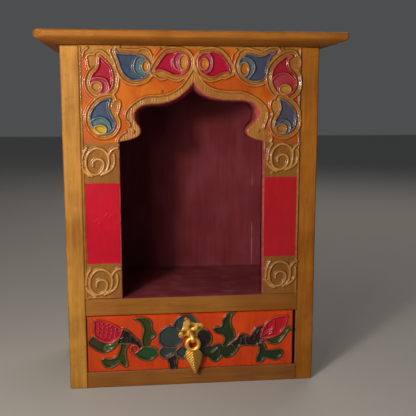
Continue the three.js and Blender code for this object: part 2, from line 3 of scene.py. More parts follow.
import bmesh
import bpy
import numpy as np
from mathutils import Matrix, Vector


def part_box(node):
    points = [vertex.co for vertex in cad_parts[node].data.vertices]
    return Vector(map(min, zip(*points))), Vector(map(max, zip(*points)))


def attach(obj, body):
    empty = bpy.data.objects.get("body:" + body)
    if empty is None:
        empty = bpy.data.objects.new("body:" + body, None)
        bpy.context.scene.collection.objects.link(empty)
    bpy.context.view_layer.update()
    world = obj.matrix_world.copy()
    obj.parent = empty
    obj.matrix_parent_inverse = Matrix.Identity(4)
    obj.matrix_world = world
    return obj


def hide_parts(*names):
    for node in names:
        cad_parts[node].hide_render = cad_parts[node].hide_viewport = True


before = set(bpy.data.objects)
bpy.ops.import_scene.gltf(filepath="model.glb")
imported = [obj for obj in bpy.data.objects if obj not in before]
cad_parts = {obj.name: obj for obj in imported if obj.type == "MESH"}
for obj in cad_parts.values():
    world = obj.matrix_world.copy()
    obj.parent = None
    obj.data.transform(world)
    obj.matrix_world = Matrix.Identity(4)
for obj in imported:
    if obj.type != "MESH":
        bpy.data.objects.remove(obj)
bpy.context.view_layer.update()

# Lengths are in millimetres until a mesh is made. Drawings on the front use (x, z).
MM = 0.001
SAME_POINT = 0.001  # points of a mesh that are nearer than this are merged


def node_box(name):
    """Lowest and highest corner of a CAD node, in millimetres."""
    low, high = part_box(name)
    return np.array(low) / MM, np.array(high) / MM


FRONT = node_box("side_board_left")[0][1]
BACK = node_box("side_board_left")[1][1]
SHELF_TOP = node_box("shelf_board")[1][2]
BODY_TOP = node_box("side_board_left")[1][2]
BODY_HALF = node_box("side_board_right")[1][0]
PANEL_HALF = node_box("arch_face_board")[1][0]
ARCH_THICKNESS = 14.0
DRAWER_FACE = FRONT + 0.8
DRAWER_THICKNESS = 12.0

# Gesso: the piped lines' height and half-width, how much these waver, and the finer marks.
LINE_HEIGHT = 1.9
LINE_HALF = 1.5
WIDTH_WAVER = 0.14
HEIGHT_WAVER = 0.12
DOT_LENGTH = 0.3
DOT_THINNER = 0.2  # the drawer's dots and veins are thinner than its outlines
VEIN_THINNER = 0.3
DOT_PAINT = 1.1
SCROLL_THICKER = 0.25
JOINT_THINNER = 0.7
BEAD = 1.0  # how far a shape's paint runs over the line round it
BAND_SHOWS = 0.8  # how deep in a band or shape on top the lower one's line still shows
SHAPE_SHOWS = 0.6
REACH = 12.0  # how far from an edge or a line the distances are worked out
WAVE_COUNT = 7  # how many sines make up an uneven surface
COMB_STEP = 2.2  # between the fine upright ridges combed into the band round the arch
COMB_HEIGHT = 0.26
MARK_HEIGHT = 0.16
MARK_WIDTH = 1.3
ARCH_STEP = 0.56  # between the points of the boards' fine fronts
DRAWER_STEP = 0.43
SILL_DROP = 5.0  # how far the shape that cuts the opening runs past the board, below and in depth
TOOL_SHARES = (-0.2, 1.2)

# Boards: the size of worn patches and of nicks, and how far from a butted end an edge stays sharp.
WEAR_PATCH = 26.0
WEAR_NICK = 7.0
TIGHT_RUN = 7.2
TIGHT_FADE = 4.0
FRONT_TURN = 2.0  # how far the outside's paint runs round the front edge into the niche
BACK_SEAM = 85.6  # where two boards of the back meet

# The cornice: its reach past the body, its heights, and its wear.
CORNICE_ROOT = 3.0
CORNICE_REACH = 23.0
CORNICE_RISE = 2.6
CORNICE_HEIGHT = 12.7
NOSE_FOOT = 7.2
NOSE_RADIUS = 2.6
CORNICE_STEPS = (80, 150, 60)  # points along each side, the front and the back
# How far in the loops stand that close the flat top and the underside, as shares of their size.
CORNICE_SHARES = (0.985, 0.93, 0.8, 0.6, 0.4, 0.2, 0.02)
DENT_DEPTH = 0.6
CHIP_SIZE = 11.0
CHIP_DEPTH = 3.2

# The brass pull: a four-petalled plate, the split pin's eye about the swing's axis, and the ring.
PLATE_CENTRE = (-2.9, 60.2)
PLATE_TIP = 15.8
PLATE_BLUNT = 14.4
PLATE_NOTCH = 8.8
PLATE_TURN = math.radians(21)
PETAL_BEND = math.radians(9)
PLATE_GRID = (144, 26)  # points round the plate, and out from its middle
PLATE_SEAT = 0.3
PLATE_RIM = 0.434
PLATE_DOME = 0.558
PLATE_RIB = 0.155
PLATE_BEATEN = 0.099
PLATE_RAYS = 26
PLATE_LIP = 0.31
SWING = np.array([-1.1, DRAWER_FACE - 7.4, 53.3])
EYE_RADIUS = 3.9
EYE_BACK = 4.0
WIRE = 0.9
WIRE_WIDE = 2.3
RING_RADIUS = 6.3
RING_BAR = 2.35
RING_CENTRE = SWING - (0, 0, RING_RADIUS)
RING_GRID = (64, 20)  # points round a ring, and round its bar
LEG_RADIUS = 0.85
LEG_APART = 0.45
LEG_BEND = 2.0
LEG_BEHIND = 1.5
LEG_LENGTH = 8.0
LEG_SIDES = 16
LEAF_TOP = RING_CENTRE[2] - RING_RADIUS + 0.8
LEAF_TIP = 14.0
LEAF_LEAN = 3.1
LEAF_SWELL = 1.5
LEAF_EDGE = 0.25
LEAF_GRID = (90, 44)
VEIN_STEP = 2.9
VEIN_HEIGHT = 0.6
LEAF_PLACES = (0, 0.06, 0.2, 0.4, 0.62, 0.85, 1)
LEAF_WIDTHS = ((3.0, 6.8, 8.8, 8.7, 5.7, 3.0, 0.7), (3.0, 7.4, 9.8, 9.0, 6.3, 3.1, 0.8))

# Colours in sRGB, as seen in neutral light: the ochre boards.
OCHRE_LIGHT = "a06c28"
OCHRE = "945c20"
OCHRE_DARK = "744516"
OCHRE_PALE = "aa7a32"
OCHRE_RAIL = "8e5c26"
OCHRE_LOW = "835223"
OCHRE_LOW_DARK = "643c1a"
OCHRE_BROWN = "985e1c"
OCHRE_DEEP = "6c3c0c"
# The orange grounds of the arch board and the drawer.
ORANGE = "a04c08"
ORANGE_DEEP = "923604"
ORANGE_THIN = "b8680a"
DRAWER_ORANGE = "c03e00"
DRAWER_ORANGE_DEEP = "9a2600"
DRAWER_ORANGE_THIN = "b43400"
# The panels and the paisleys.
CRIMSON = "a90020"
CRIMSON_DARK = "900018"
MAGENTA = "920228"
MAGENTA_DARK = "78011e"
ROSE = "8a3a4c"
SLATE_BLUE = "34445f"
NIGHT_BLUE = "202938"
TEAL = "456463"
LEMON = "a68a20"
AMBER = "ab5f0e"
# The niche and the arch's sawn edge.
MAROON = "6e2a30"
MAROON_DARK = "581a1f"
SCUFFED = "743440"
# the niche floor: the niche's maroon painted lighter, as if lit, with pinkish scuffs that are partly painted
# sheen
LIT_FLOOR_MAROON = "7e343c"
LIT_FLOOR_MAROON_DARK = "5e262c"
LIT_FLOOR_SCUFFED = "8e4c52"
CRACK = "b08078"
REVEAL = "9a4440"
REVEAL_DARK = "6e3230"
# The drawer's flowers.
LEAF = "1c2c16"
LEAF_DARK = "121e0e"
LEAF_BRIGHT = "0c5222"
OLIVE = "2f380e"
OLIVE_DARK = "222a0a"
PETAL = "2e3a38"
PETAL_DARK = "222a2a"
BRANCH = "201619"
BRANCH_DARK = "140d0f"
BUD = "8c2c1c"
# painted highlight: the raised dots on the left flower are painted a lighter pink than its crimson
DOT_HIGHLIGHT_PINK = "b4304a"
DOT_HIGHLIGHT_PINK_DARK = "8c2038"
# Bare wood and gesso, rubbed paint, painted shade and highlight, a darker brown laid across the front, and
# brass.
RAW_WOOD = "a98258"
RAW_WOOD_DARK = "7a5634"
# pale line tops: rubbed gesso and painted highlight
GESSO_AND_HIGHLIGHT = "e0b078"
# painted shade: the dark band along the foot of every piped line
FOOT_SHADE = "3a1606"
# painted shade: the dark brown between the scroll blocks' strokes
SCROLL_RECESS_SHADE = "4c2a0c"
RUBBED = "6e4020"
# a darker brown laid across the front: painted shade on the arch board's right side, and darker ends of the
# rail and the drawer
DARKENING = "5a2c0c"
BRASS = "efbd5e"
BRASS_DARK = "744612"
# The studio.
PAPER = "bab8b4"
PAPER_SHADE = "b2b0ac"
WARM_LIGHT = "fff6ea"
COOL_LIGHT = "eef2ff"
AIR_LIGHT = "dfe3e8"

# How a pattern is drawn out along x, y and z.
EVENLY = (1, 1, 1)
VERTICAL = (1, 1, 14)
LENGTHWISE = (14, 1, 1)
ACROSS = (1, 14, 1)
# Paint: the size of its clouds, how soft a coat's edge is, and how far from a line the painted shade at its
# foot lies.
CLOUD = 40.0
PAINT_EDGE = 0.25
LINE_FOOT = 1.55
VARNISH_ROUGHNESS = 0.16
MATT_SPECULAR = 0.1
METAL_SPECULAR = 0.5
EASED = {"interpolation_type": "SMOOTHSTEP"}
MIX_COVER, MIX_BELOW, MIX_ABOVE, MIX_COLOUR = 0, 6, 7, 2  # the Mix node's sockets for colours

# The studio, in metres: each light's name, place, target, size, power and colour; and the camera.
LIGHTS = (
    ("window", (-0.37, -0.62, 0.37), (0, -0.06, 0.58), 0.36, 3.8, WARM_LIGHT),
    ("pane", (-0.37, -0.62, 0.37), (0, -0.06, 0.58), 0.075, 3.8, WARM_LIGHT),
    ("bounce", (1.1, -1.3, 0.3), (0, 0, 0.18), 1.2, 1.9, COOL_LIGHT),
    ("rear", (0.6, 1.1, 1.5), (0, 0, 0.15), 1.0, 7, WARM_LIGHT),
)
AIR_STRENGTH = 0.1
FLOOR_SIZE = 12
CAMERA_PLACE = (-0.0569, -0.7292, 0.2945)
CAMERA_DIP = math.radians(8.73)
CAMERA_TURN = math.radians(6.19)
SENSOR = 36
LENS = 57.1


# Numbers and shapes.


def waves(points, size, seed):
    """Smooth unevenness, mostly from -1 to 1: twice the mean of some sines along seeded random directions,
    each with a wavelength near size."""
    rng = np.random.default_rng(seed)
    total = np.zeros(points.shape[:-1])
    for _ in range(WAVE_COUNT):
        direction = rng.normal(size=points.shape[-1])
        direction *= 2 * np.pi / (size * rng.uniform(0.6, 1.6) * np.linalg.norm(direction))
        total += np.sin(points @ direction + rng.uniform(0, 2 * np.pi))
    return 2 * total / WAVE_COUNT


def bezier(points, count):
    """Points of a quadratic or cubic Bezier curve: the sum of its control points by Bernstein weights."""
    t = np.linspace(0, 1, count)[:, None]
    order = len(points) - 1
    return sum(
        math.comb(order, k) * t**k * (1 - t) ** (order - k) * np.array(point)
        for k, point in enumerate(points)
    )


def smooth(points, closed=False, pieces=8):
    """A Catmull-Rom curve through the points: each span is the cubic whose end slopes are half of the
    step between the neighbours on either side."""
    p = np.array(points, float)
    if closed:
        p = np.vstack([p[-1], p, p[:2]])
    else:
        p = np.vstack([2 * p[0] - p[1], p, 2 * p[-1] - p[-2]])
    t = np.linspace(0, 1, pieces, endpoint=False)[None, :, None]
    a, b, c, d = (p[i : len(p) - 3 + i, None, :] for i in range(4))
    spans = 0.5 * (
        2 * b
        + (c - a) * t
        + (2 * a - 5 * b + 4 * c - d) * t**2
        + (3 * b - 3 * c + d - a) * t**3
    )
    curve = spans.reshape(-1, 2)
    return curve if closed else np.vstack([curve, p[-2]])


def line_distance(points, line):
    """Distance from each point to a polyline: to the nearest point of each of its segments, which is
    clamped to the segment's ends."""
    start, step = line[:-1], np.diff(line, axis=0)
    away = points[:, None, :] - start
    share = np.clip((away * step).sum(-1) / np.maximum((step**2).sum(-1), 1e-9), 0, 1)
    return np.sqrt(((away - share[..., None] * step) ** 2).sum(-1)).min(1)


def inside(points, outline):
    """True where a point is within a closed outline, by counting the edges to its right."""
    a, b = outline, np.roll(outline, -1, axis=0)
    x, z = points[:, :1], points[:, 1:]
    spans = (a[:, 1] > z) != (b[:, 1] > z)
    rise = np.where(a[:, 1] == b[:, 1], 1e-9, b[:, 1] - a[:, 1])
    return ((x < a[:, 0] + (z - a[:, 1]) * (b[:, 0] - a[:, 0]) / rise) & spans).sum(1) % 2 == 1


def near(points, outline):
    """Numbers of the points within REACH of an outline's bounding box."""
    low, high = outline.min(0) - REACH, outline.max(0) + REACH
    return np.flatnonzero(((points > low) & (points < high)).all(1))


def depth_inside(points, outlines):
    """How far each point is inside the nearest of some closed outlines, negative outside them."""
    depth = np.full(len(points), -REACH)
    for outline in outlines:
        outline = np.array(outline, float)
        chosen = near(points, outline)
        distance = line_distance(points[chosen], ring(outline))
        distance = np.where(inside(points[chosen], outline), distance, -distance)
        depth[chosen] = np.maximum(depth[chosen], np.clip(distance, -REACH, REACH))
    return depth


def nearest_line(points, lines):
    """Distance to the nearest of some lines, at most REACH."""
    distance = np.full(len(points), REACH)
    for line in lines:
        chosen = near(points, line)
        distance[chosen] = np.minimum(distance[chosen], line_distance(points[chosen], line))
    return distance


# The arch.


SPRING_Z = 259.4
JAMB = 73.6


def half_arch(side, cusp, lobe, lobe_z, top, top_at, apex_at, apex_z, ogee_z, cusp_z=269.5, spring=True):
    """Half of the arch's edge as Bezier pieces: spring, cusp, lobe, and the rise to the ogee's point."""
    pieces = [
        bezier([(JAMB + 0.2, SPRING_Z), (63, 261.5), (cusp, 263.5), (cusp, cusp_z)], 14),
        bezier([(cusp, cusp_z), (cusp, cusp_z + 7.5), (lobe, 277.5), (lobe, lobe_z)], 16),
        bezier([(lobe, lobe_z), (lobe, lobe_z + 8), (top_at + 9, top), (top_at, top)], 20),
        bezier([(top_at, top), (20, top - 0.3), (9, ogee_z), (apex_at, apex_z)], 36),
    ]
    curve = np.vstack([piece[1:] for piece in (pieces if spring else pieces[1:])])
    return curve * (side, 1)


ARCH_FRONT = (
    dict(side=-1, cusp=52.4, lobe=58.3, lobe_z=285, top=297.3, top_at=40, apex_at=-1.6, apex_z=318.4,
         ogee_z=305.5),
    dict(side=1, cusp=56, lobe=68.8, lobe_z=288.5, top=300.9, top_at=50, apex_at=1.6, apex_z=318.4,
         ogee_z=305.5),
)
ARCH_BACK = (
    dict(side=-1, cusp=51, lobe=53, lobe_z=284, top=294, top_at=38, apex_at=-1.6, apex_z=310.2,
         ogee_z=301),
    dict(side=1, cusp=54.7, lobe=62.4, lobe_z=288.5, top=298.2, top_at=48, apex_at=1.6, apex_z=310.2,
         ogee_z=302),
)
ARCH_BORDER = (
    dict(side=-1, cusp=62.7, cusp_z=273.8, lobe=67.3, lobe_z=286, top=305.3, top_at=42, apex_at=-2.4,
         apex_z=336.5, ogee_z=311, spring=False),
    dict(side=1, cusp=73.5, cusp_z=271.5, lobe=77.3, lobe_z=289, top=309.3, top_at=48, apex_at=2.4,
         apex_z=336.5, ogee_z=313, spring=False),
)


def arch_outline(halves, foot):
    """The opening's outline from the left foot over the arch to the right foot."""
    left, right = (half_arch(**half) for half in halves)
    sill = np.array([[-JAMB, foot], [-JAMB, SPRING_Z]])
    return np.vstack([sill, left, right[::-1], (sill * (-1, 1))[::-1]])


# Paisleys: the drop's outline, the line of its crescent with the points that close the crescent's area,
# its ball (middle and half-widths), the gold band's width, and the lobe beside the tip.
PAISLEYS = (
    dict(
        paint="crimson", gold=5.3, ball=("ochre", (-95, 314, 5.6, 5.2)),
        drop=((-91.3, 343.6), (-86.5, 339.5), (-81.5, 334), (-79.2, 327), (-78.6, 320), (-80, 313.5),
              (-84, 309), (-89, 307.3), (-95, 308), (-99.5, 311.5), (-101.3, 317), (-100.8, 321),
              (-98.5, 326), (-94.5, 330.5), (-92.3, 335), (-92, 339.5)),
        crescent=((-100.6, 321), (-96, 322.6), (-91, 322.6), (-86, 321), (-83.5, 317), (-83.2, 312),
                  (-86, 308.6)),
        foot=((-92, 306), (-100, 311)),
        lobe=((-103.5, 339.5), (-104, 343), (-100.5, 345.2), (-96, 344.5), (-93.5, 341), (-94.5, 336),
              (-97, 332.5), (-101, 331), (-102.8, 334.5)),
    ),
    dict(
        paint="blue", gold=4.6, ball=("lemon", (-92.6, 271.8, 6.4, 4.6)),
        drop=((-81.6, 302.2), (-90, 300.6), (-95, 297), (-99, 292), (-101.5, 287), (-102, 281),
              (-100.5, 275.5), (-97, 271), (-92, 267.6), (-86, 267.6), (-81, 270), (-77.8, 275),
              (-77.5, 279), (-80, 284), (-82.5, 289), (-83.5, 294), (-82.8, 298.5)),
        crescent=((-101.4, 280.6), (-96, 283.5), (-91, 284), (-86, 281.5), (-83, 277.5), (-82, 272.5)),
        foot=((-86, 267), (-98, 268)),
        lobe=((-82, 292), (-80.5, 297), (-77, 300.8), (-73, 300), (-72, 296), (-73.5, 291), (-75, 286),
              (-77, 281), (-80, 285)),
    ),
    dict(
        paint="blue", gold=4.4, ball=("ochre", (-46.2, 334, 3.9, 6)),
        drop=((-76.6, 348.6), (-72, 346.2), (-66, 345.7), (-58, 345.5), (-52.5, 345), (-47, 342.5),
              (-43.5, 338.5), (-42, 333.5), (-43.3, 328), (-47, 323.5), (-53, 320.8), (-59, 320.5),
              (-65, 323), (-69.5, 328.5), (-72, 335), (-74, 341.5)),
        crescent=((-51.5, 345), (-56, 341.5), (-58.2, 335), (-57.2, 329), (-53.5, 325.3), (-49.5, 324)),
        foot=((-45.5, 326), (-47, 342)),
        lobe=((-54, 344), (-53, 349.4), (-48, 351.2), (-43, 349.2), (-40.4, 344), (-40, 338), (-45, 338)),
    ),
    dict(
        paint="crimson", gold=4.4, ball=("ochre", (-8.8, 338, 4.4, 7.4)),
        drop=((-37.8, 329.3), (-35.5, 334), (-31, 341), (-26, 346.3), (-21, 348), (-15, 347.9), (-9, 347),
              (-4.5, 343.5), (-2.8, 338), (-4.5, 331.5), (-9, 327.3), (-14, 325.6), (-19, 326), (-24, 328),
              (-29, 330.3), (-33.5, 330.6)),
        crescent=((-14.6, 348), (-18.5, 343), (-19, 337), (-17, 332), (-12, 329.4), (-8, 329)),
        foot=((-3, 336), (-8, 346)),
        lobe=((-37.5, 329), (-37, 325), (-34, 322.3), (-29, 321), (-25, 322.5), (-21, 321), (-16, 319.8),
              (-11, 321), (-12, 326), (-20, 326.5), (-28, 330)),
    ),
    dict(
        paint="crimson", gold=4.2, ball=("amber", (11.8, 336.7, 4.4, 5.6)),
        drop=((38.4, 329.3), (37, 334), (33.5, 340), (28, 346), (22, 348.3), (16, 348), (10, 346.5),
              (6.5, 342.5), (5.5, 336.5), (7.5, 331), (11.5, 327), (17, 324.6), (22, 324.4), (27, 326.5),
              (32, 328.6), (35.5, 329)),
        crescent=((16, 348), (19.5, 343), (20.5, 336.5), (18.5, 330.5), (13, 327.3)),
        foot=((6, 333), (10, 345)),
        lobe=((38, 329), (37.5, 324.5), (33.5, 322.5), (28, 322.8), (23, 320.5), (18, 319.5), (13, 321.5),
              (14, 325.5), (22, 325), (29, 328.5)),
    ),
    dict(
        paint="blue", gold=4.4, ball=("amber", (52.6, 332, 4.7, 6.8)),
        drop=((84.8, 349.4), (80.5, 345.5), (77.8, 340), (76.3, 333), (75.3, 326.5), (72, 322), (66.5, 320),
              (60.5, 320), (55.5, 322), (50.5, 326), (47.8, 331), (47.2, 337), (49.5, 342.5), (54.5, 346),
              (60, 346.2), (65, 344.8), (70, 344.4), (75, 346.3), (79.5, 348.8)),
        crescent=((50.6, 343.4), (57, 342.5), (62, 338.5), (63.3, 332.5), (60.5, 326.5), (56.5, 322.4)),
        foot=((52, 325), (48, 338)),
        lobe=((46, 344), (48.5, 350), (55, 352.4), (62, 351), (69, 348.6), (70, 344), (56, 343)),
    ),
    dict(
        paint="crimson", gold=5.3, ball=("lemon", (95, 312, 6, 4.8)),
        drop=((101.7, 345.2), (98.5, 342), (97.8, 337), (99.5, 332), (103.5, 328), (106.2, 322.5),
              (106.5, 316), (104, 310.5), (99.5, 307), (94, 306), (88.5, 308), (84, 312.5), (81.2, 319),
              (81, 326), (82.5, 332), (86.5, 337.5), (92, 342), (97, 344.7)),
        crescent=((81.6, 321.6), (86, 326), (92, 328), (98, 327), (103, 322.5), (106, 318.6)),
        foot=((103, 308), (94, 304), (84, 311)),
        lobe=((101, 343), (104, 346), (108.5, 344.5), (110.5, 339.5), (109.5, 334), (107, 331),
              (103, 331.5), (100.5, 336)),
    ),
    dict(
        paint="blue", gold=5, ball=("ochre", (91.6, 272.4, 5.6, 4.6)),
        drop=((89.6, 302.4), (95, 300), (100, 296.5), (104.5, 291.5), (106.8, 285), (106.5, 278),
              (104, 272), (99.5, 268.3), (94, 267), (88.5, 268.5), (85.5, 272), (84.6, 277), (86, 282),
              (89, 287), (91, 292), (90.6, 297)),
        crescent=((87.6, 278.6), (94, 281.2), (99, 279), (101.2, 274.5), (100.3, 270)),
        foot=((94, 267), (87, 270)),
        lobe=((79.8, 297), (81.5, 301.3), (86, 302.3), (89.5, 299.5), (89.8, 294), (87.5, 289),
              (84.6, 284.5), (82, 283), (82, 288), (80.3, 292)),
    ),
)


def oval(x, z, half_width, half_height, count=24):
    """A closed oval: its half-widths times the cosine and sine of an even turn."""
    turn = np.linspace(0, 2 * np.pi, count, endpoint=False)
    return np.stack([x + half_width * np.cos(turn), z + half_height * np.sin(turn)], 1)


def ring(outline):
    """A closed outline as a line that ends where it began."""
    return np.vstack([outline, outline[:1]])


# Scroll blocks: a curl inside an upright ring, with strokes beside it, four times alike. Their points
# are counted from the block's middle.
SCROLLS = ((-95.5, 238), (93.4, 241.4), (-94.9, 113.4), (92.9, 117.2))
SCROLL_STROKES = (
    ((-5.2, -2.6), (-4.8, 1.6), (-1, 4.3), (3.4, 3.6), (5.8, 0), (5, -5), (1.6, -9.4), (-3.4, -11.2),
     (-8.4, -9.4), (-11.3, -4.6), (-12, 1.6), (-10.6, 7.6), (-7, 12.6), (-1.6, 15.2), (4.6, 14), (9.2, 9.6),
     (10.9, 3), (9.8, -4), (7.4, -8.4), (3.2, -11.6)),
    ((10.7, 8), (12.6, 11.4), (16, 14.8), (20, 15.6)),
    ((16, 8.8), (16.6, 4), (16, -1), (13.5, -5.6), (9.4, -8.8), (6, -10.6)),
    ((-15.6, -1), (-15.2, 5.4), (-13.4, 11.4), (-10.8, 15.6)),
    ((-15.6, -4.4), (-12.6, -8.6), (-9, -11.6), (-6, -12.8)),
)
BLOCKS = ((-109, -72, 218, 258.8), (-109, -72, 97.3, 134.6), (72, 109, 222.4, 258.8), (72, 109, 97.3, 138))
PANELS = ((-109, -72, 134.6, 218), (72, 109, 138, 222.4))
STRIPS = ((-112, -109, 97, 355), (109, 112, 97, 355))

JOINT_LINES = (
    ((-110.2, 352.3), (-110.4, 300), (-110.1, 240), (-110.4, 160), (-110, 101.5), (-106, 98.8),
     (-76.5, 99)),
    ((110.4, 352.3), (110.1, 290), (110.4, 220), (110.2, 150), (110.3, 101.5)),
)
CURLS = (
    ((-75.6, 259.5), (-74.4, 263), (-71.9, 266.4), (-66.8, 270)),
    ((80.6, 258.2), (82.1, 262.6), (79.9, 267.7)),
    ((2.3, 336.6), (3.7, 343.4), (6.9, 347.3)),
    ((-38.6, 341), (-36.4, 346), (-32, 351.4)),
    ((40, 341), (41, 346), (45, 350.6)),
    ((-107.6, 343), (-106.4, 348), (-102.6, 351.4)),
    ((-77, 350), (-74.6, 352.4), (-71.6, 353.4)),
    ((88, 349), (92.6, 352)),
)
MARKS = (
    ((-99.6, 178.4), (-96.4, 180.4), (-93.6, 178.6), (-95.4, 176.4)),
    ((-89.6, 183.4), (-86.8, 186)),
    ((-86, 181.8), (-83, 185), (-80.4, 183)),
)
DOTS = ((-59.4, 269.3), (67.9, 269.8), (-105.3, 225.5), (82.4, 226.5), (-104.5, 104), (-30.9, 309.4),
        (-13, 320.6))
GOLD_FILLS = (
    ((-110, 354), (-109, 347), (-104, 343), (-92, 343), (-82, 338), (-77, 326), (-73, 324), (-74, 336),
     (-76, 347), (-79, 354)),
    ((-72, 354), (-73, 347), (-58, 344), (-44, 342), (-40, 338), (-39, 341), (-41, 346), (-43, 350),
     (-42, 354)),
    ((46, 354), (45, 346), (54, 346), (70, 344), (80, 350), (78, 354)),
    ((86, 354), (84, 350), (80, 342), (84, 336), (96, 346), (104, 344), (111, 340), (112, 354)),
)


def ball_outline(paisley):
    """The oval of a paisley's ball."""
    return oval(*paisley["ball"][1])


def crescent_area(paisley):
    """The area between a crescent's line and its ball, closed through the foot points."""
    return np.vstack([smooth(paisley["crescent"]), paisley["foot"]])


def dot_line(dot):
    """A line so short that it shows as a round dot."""
    return np.array([dot, np.add(dot, DOT_LENGTH)])


def arch_lines():
    """The piped lines on the arch board, apart from the drops' outlines and their bands."""
    lines = [half_arch(**half) for half in ARCH_BORDER]
    for paisley in PAISLEYS:
        lines += [smooth(paisley["crescent"]), ring(ball_outline(paisley))]
    lines += [smooth(line) for line in CURLS]
    lines += [dot_line(dot) for dot in DOTS]
    return lines


def scroll_lines():
    """The strokes of the four scroll blocks."""
    return [np.add(stroke, centre) for centre in SCROLLS for stroke in SCROLL_STROKES]


def block_outline(left, right, low, high):
    """A plain rectangle."""
    return np.array([(left, low), (right, low), (right, high), (left, high)])


def band_outline():
    """The gold band round the arch: from one spring along the curl and the border to the other."""
    left, right = (half_arch(**half) for half in ARCH_BORDER)
    springs = [(80.6, 250), (-76, 250), (-76, 258.5)]
    return np.vstack([CURLS[0], left, right[::-1], CURLS[1][::-1], springs])


def paisley_field(points):
    """How deep each point is in the paisleys' paints and in their gold bands, and its distance from their
    outlines. A band is its drop grown by the band's width, joined with the lobe; a later band lies over
    an earlier one."""
    bands = np.full(len(points), -REACH)
    line = np.full(len(points), REACH)
    paints = {name: np.full(len(points), -REACH) for name in ("crimson", "blue", "rose", "teal")}
    for paisley in reversed(PAISLEYS):
        drop = depth_inside(points, [smooth(paisley["drop"], closed=True, pieces=5)])
        lobe = depth_inside(points, [smooth(paisley["lobe"], closed=True, pieces=5)])
        band = np.maximum(drop + paisley["gold"], lobe)
        line = np.minimum(line, np.abs(drop))
        line = np.where(bands < BAND_SHOWS, np.minimum(line, np.abs(band)), line)
        bands = np.maximum(bands, band)
        crescent = np.minimum(depth_inside(points, [crescent_area(paisley)]), drop)
        outer, inner = paisley["paint"], {"crimson": "rose", "blue": "teal"}[paisley["paint"]]
        paints[outer] = np.maximum(paints[outer], drop + 0.6 * BEAD)
        paints[inner] = np.maximum(paints[inner], crescent)
    return paints, bands, line


def arch_ornament_field(points):
    """How deep each point is in every paint, and its distance from the nearest piped line."""
    paints, bands, line = paisley_field(points)
    line = np.minimum(line, nearest_line(points, arch_lines()))
    for lines, thinner in ((scroll_lines(), -SCROLL_THICKER), (JOINT_LINES, JOINT_THINNER)):
        distance = nearest_line(points, [smooth(stroke) for stroke in lines])
        line = np.minimum(line, np.maximum(0, distance + thinner))
    for name in ("ochre", "amber", "lemon"):
        balls = [ball_outline(paisley) for paisley in PAISLEYS if paisley["ball"][0] == name]
        paints[name + "_ball"] = depth_inside(points, balls)
    band = band_outline()
    blocks, panels, strips = ([block_outline(*box) for box in boxes] for boxes in (BLOCKS, PANELS, STRIPS))
    top = block_outline(-PANEL_HALF - 2, PANEL_HALF + 2, 351.3, 360)
    paints["gold"] = np.maximum(depth_inside(points, [band, top, *blocks, *strips, *GOLD_FILLS]), bands)
    paints["panel"] = depth_inside(points, panels)
    paints["scroll"] = depth_inside(points, blocks)
    paints["combed"] = depth_inside(points, [band])
    return paints, line


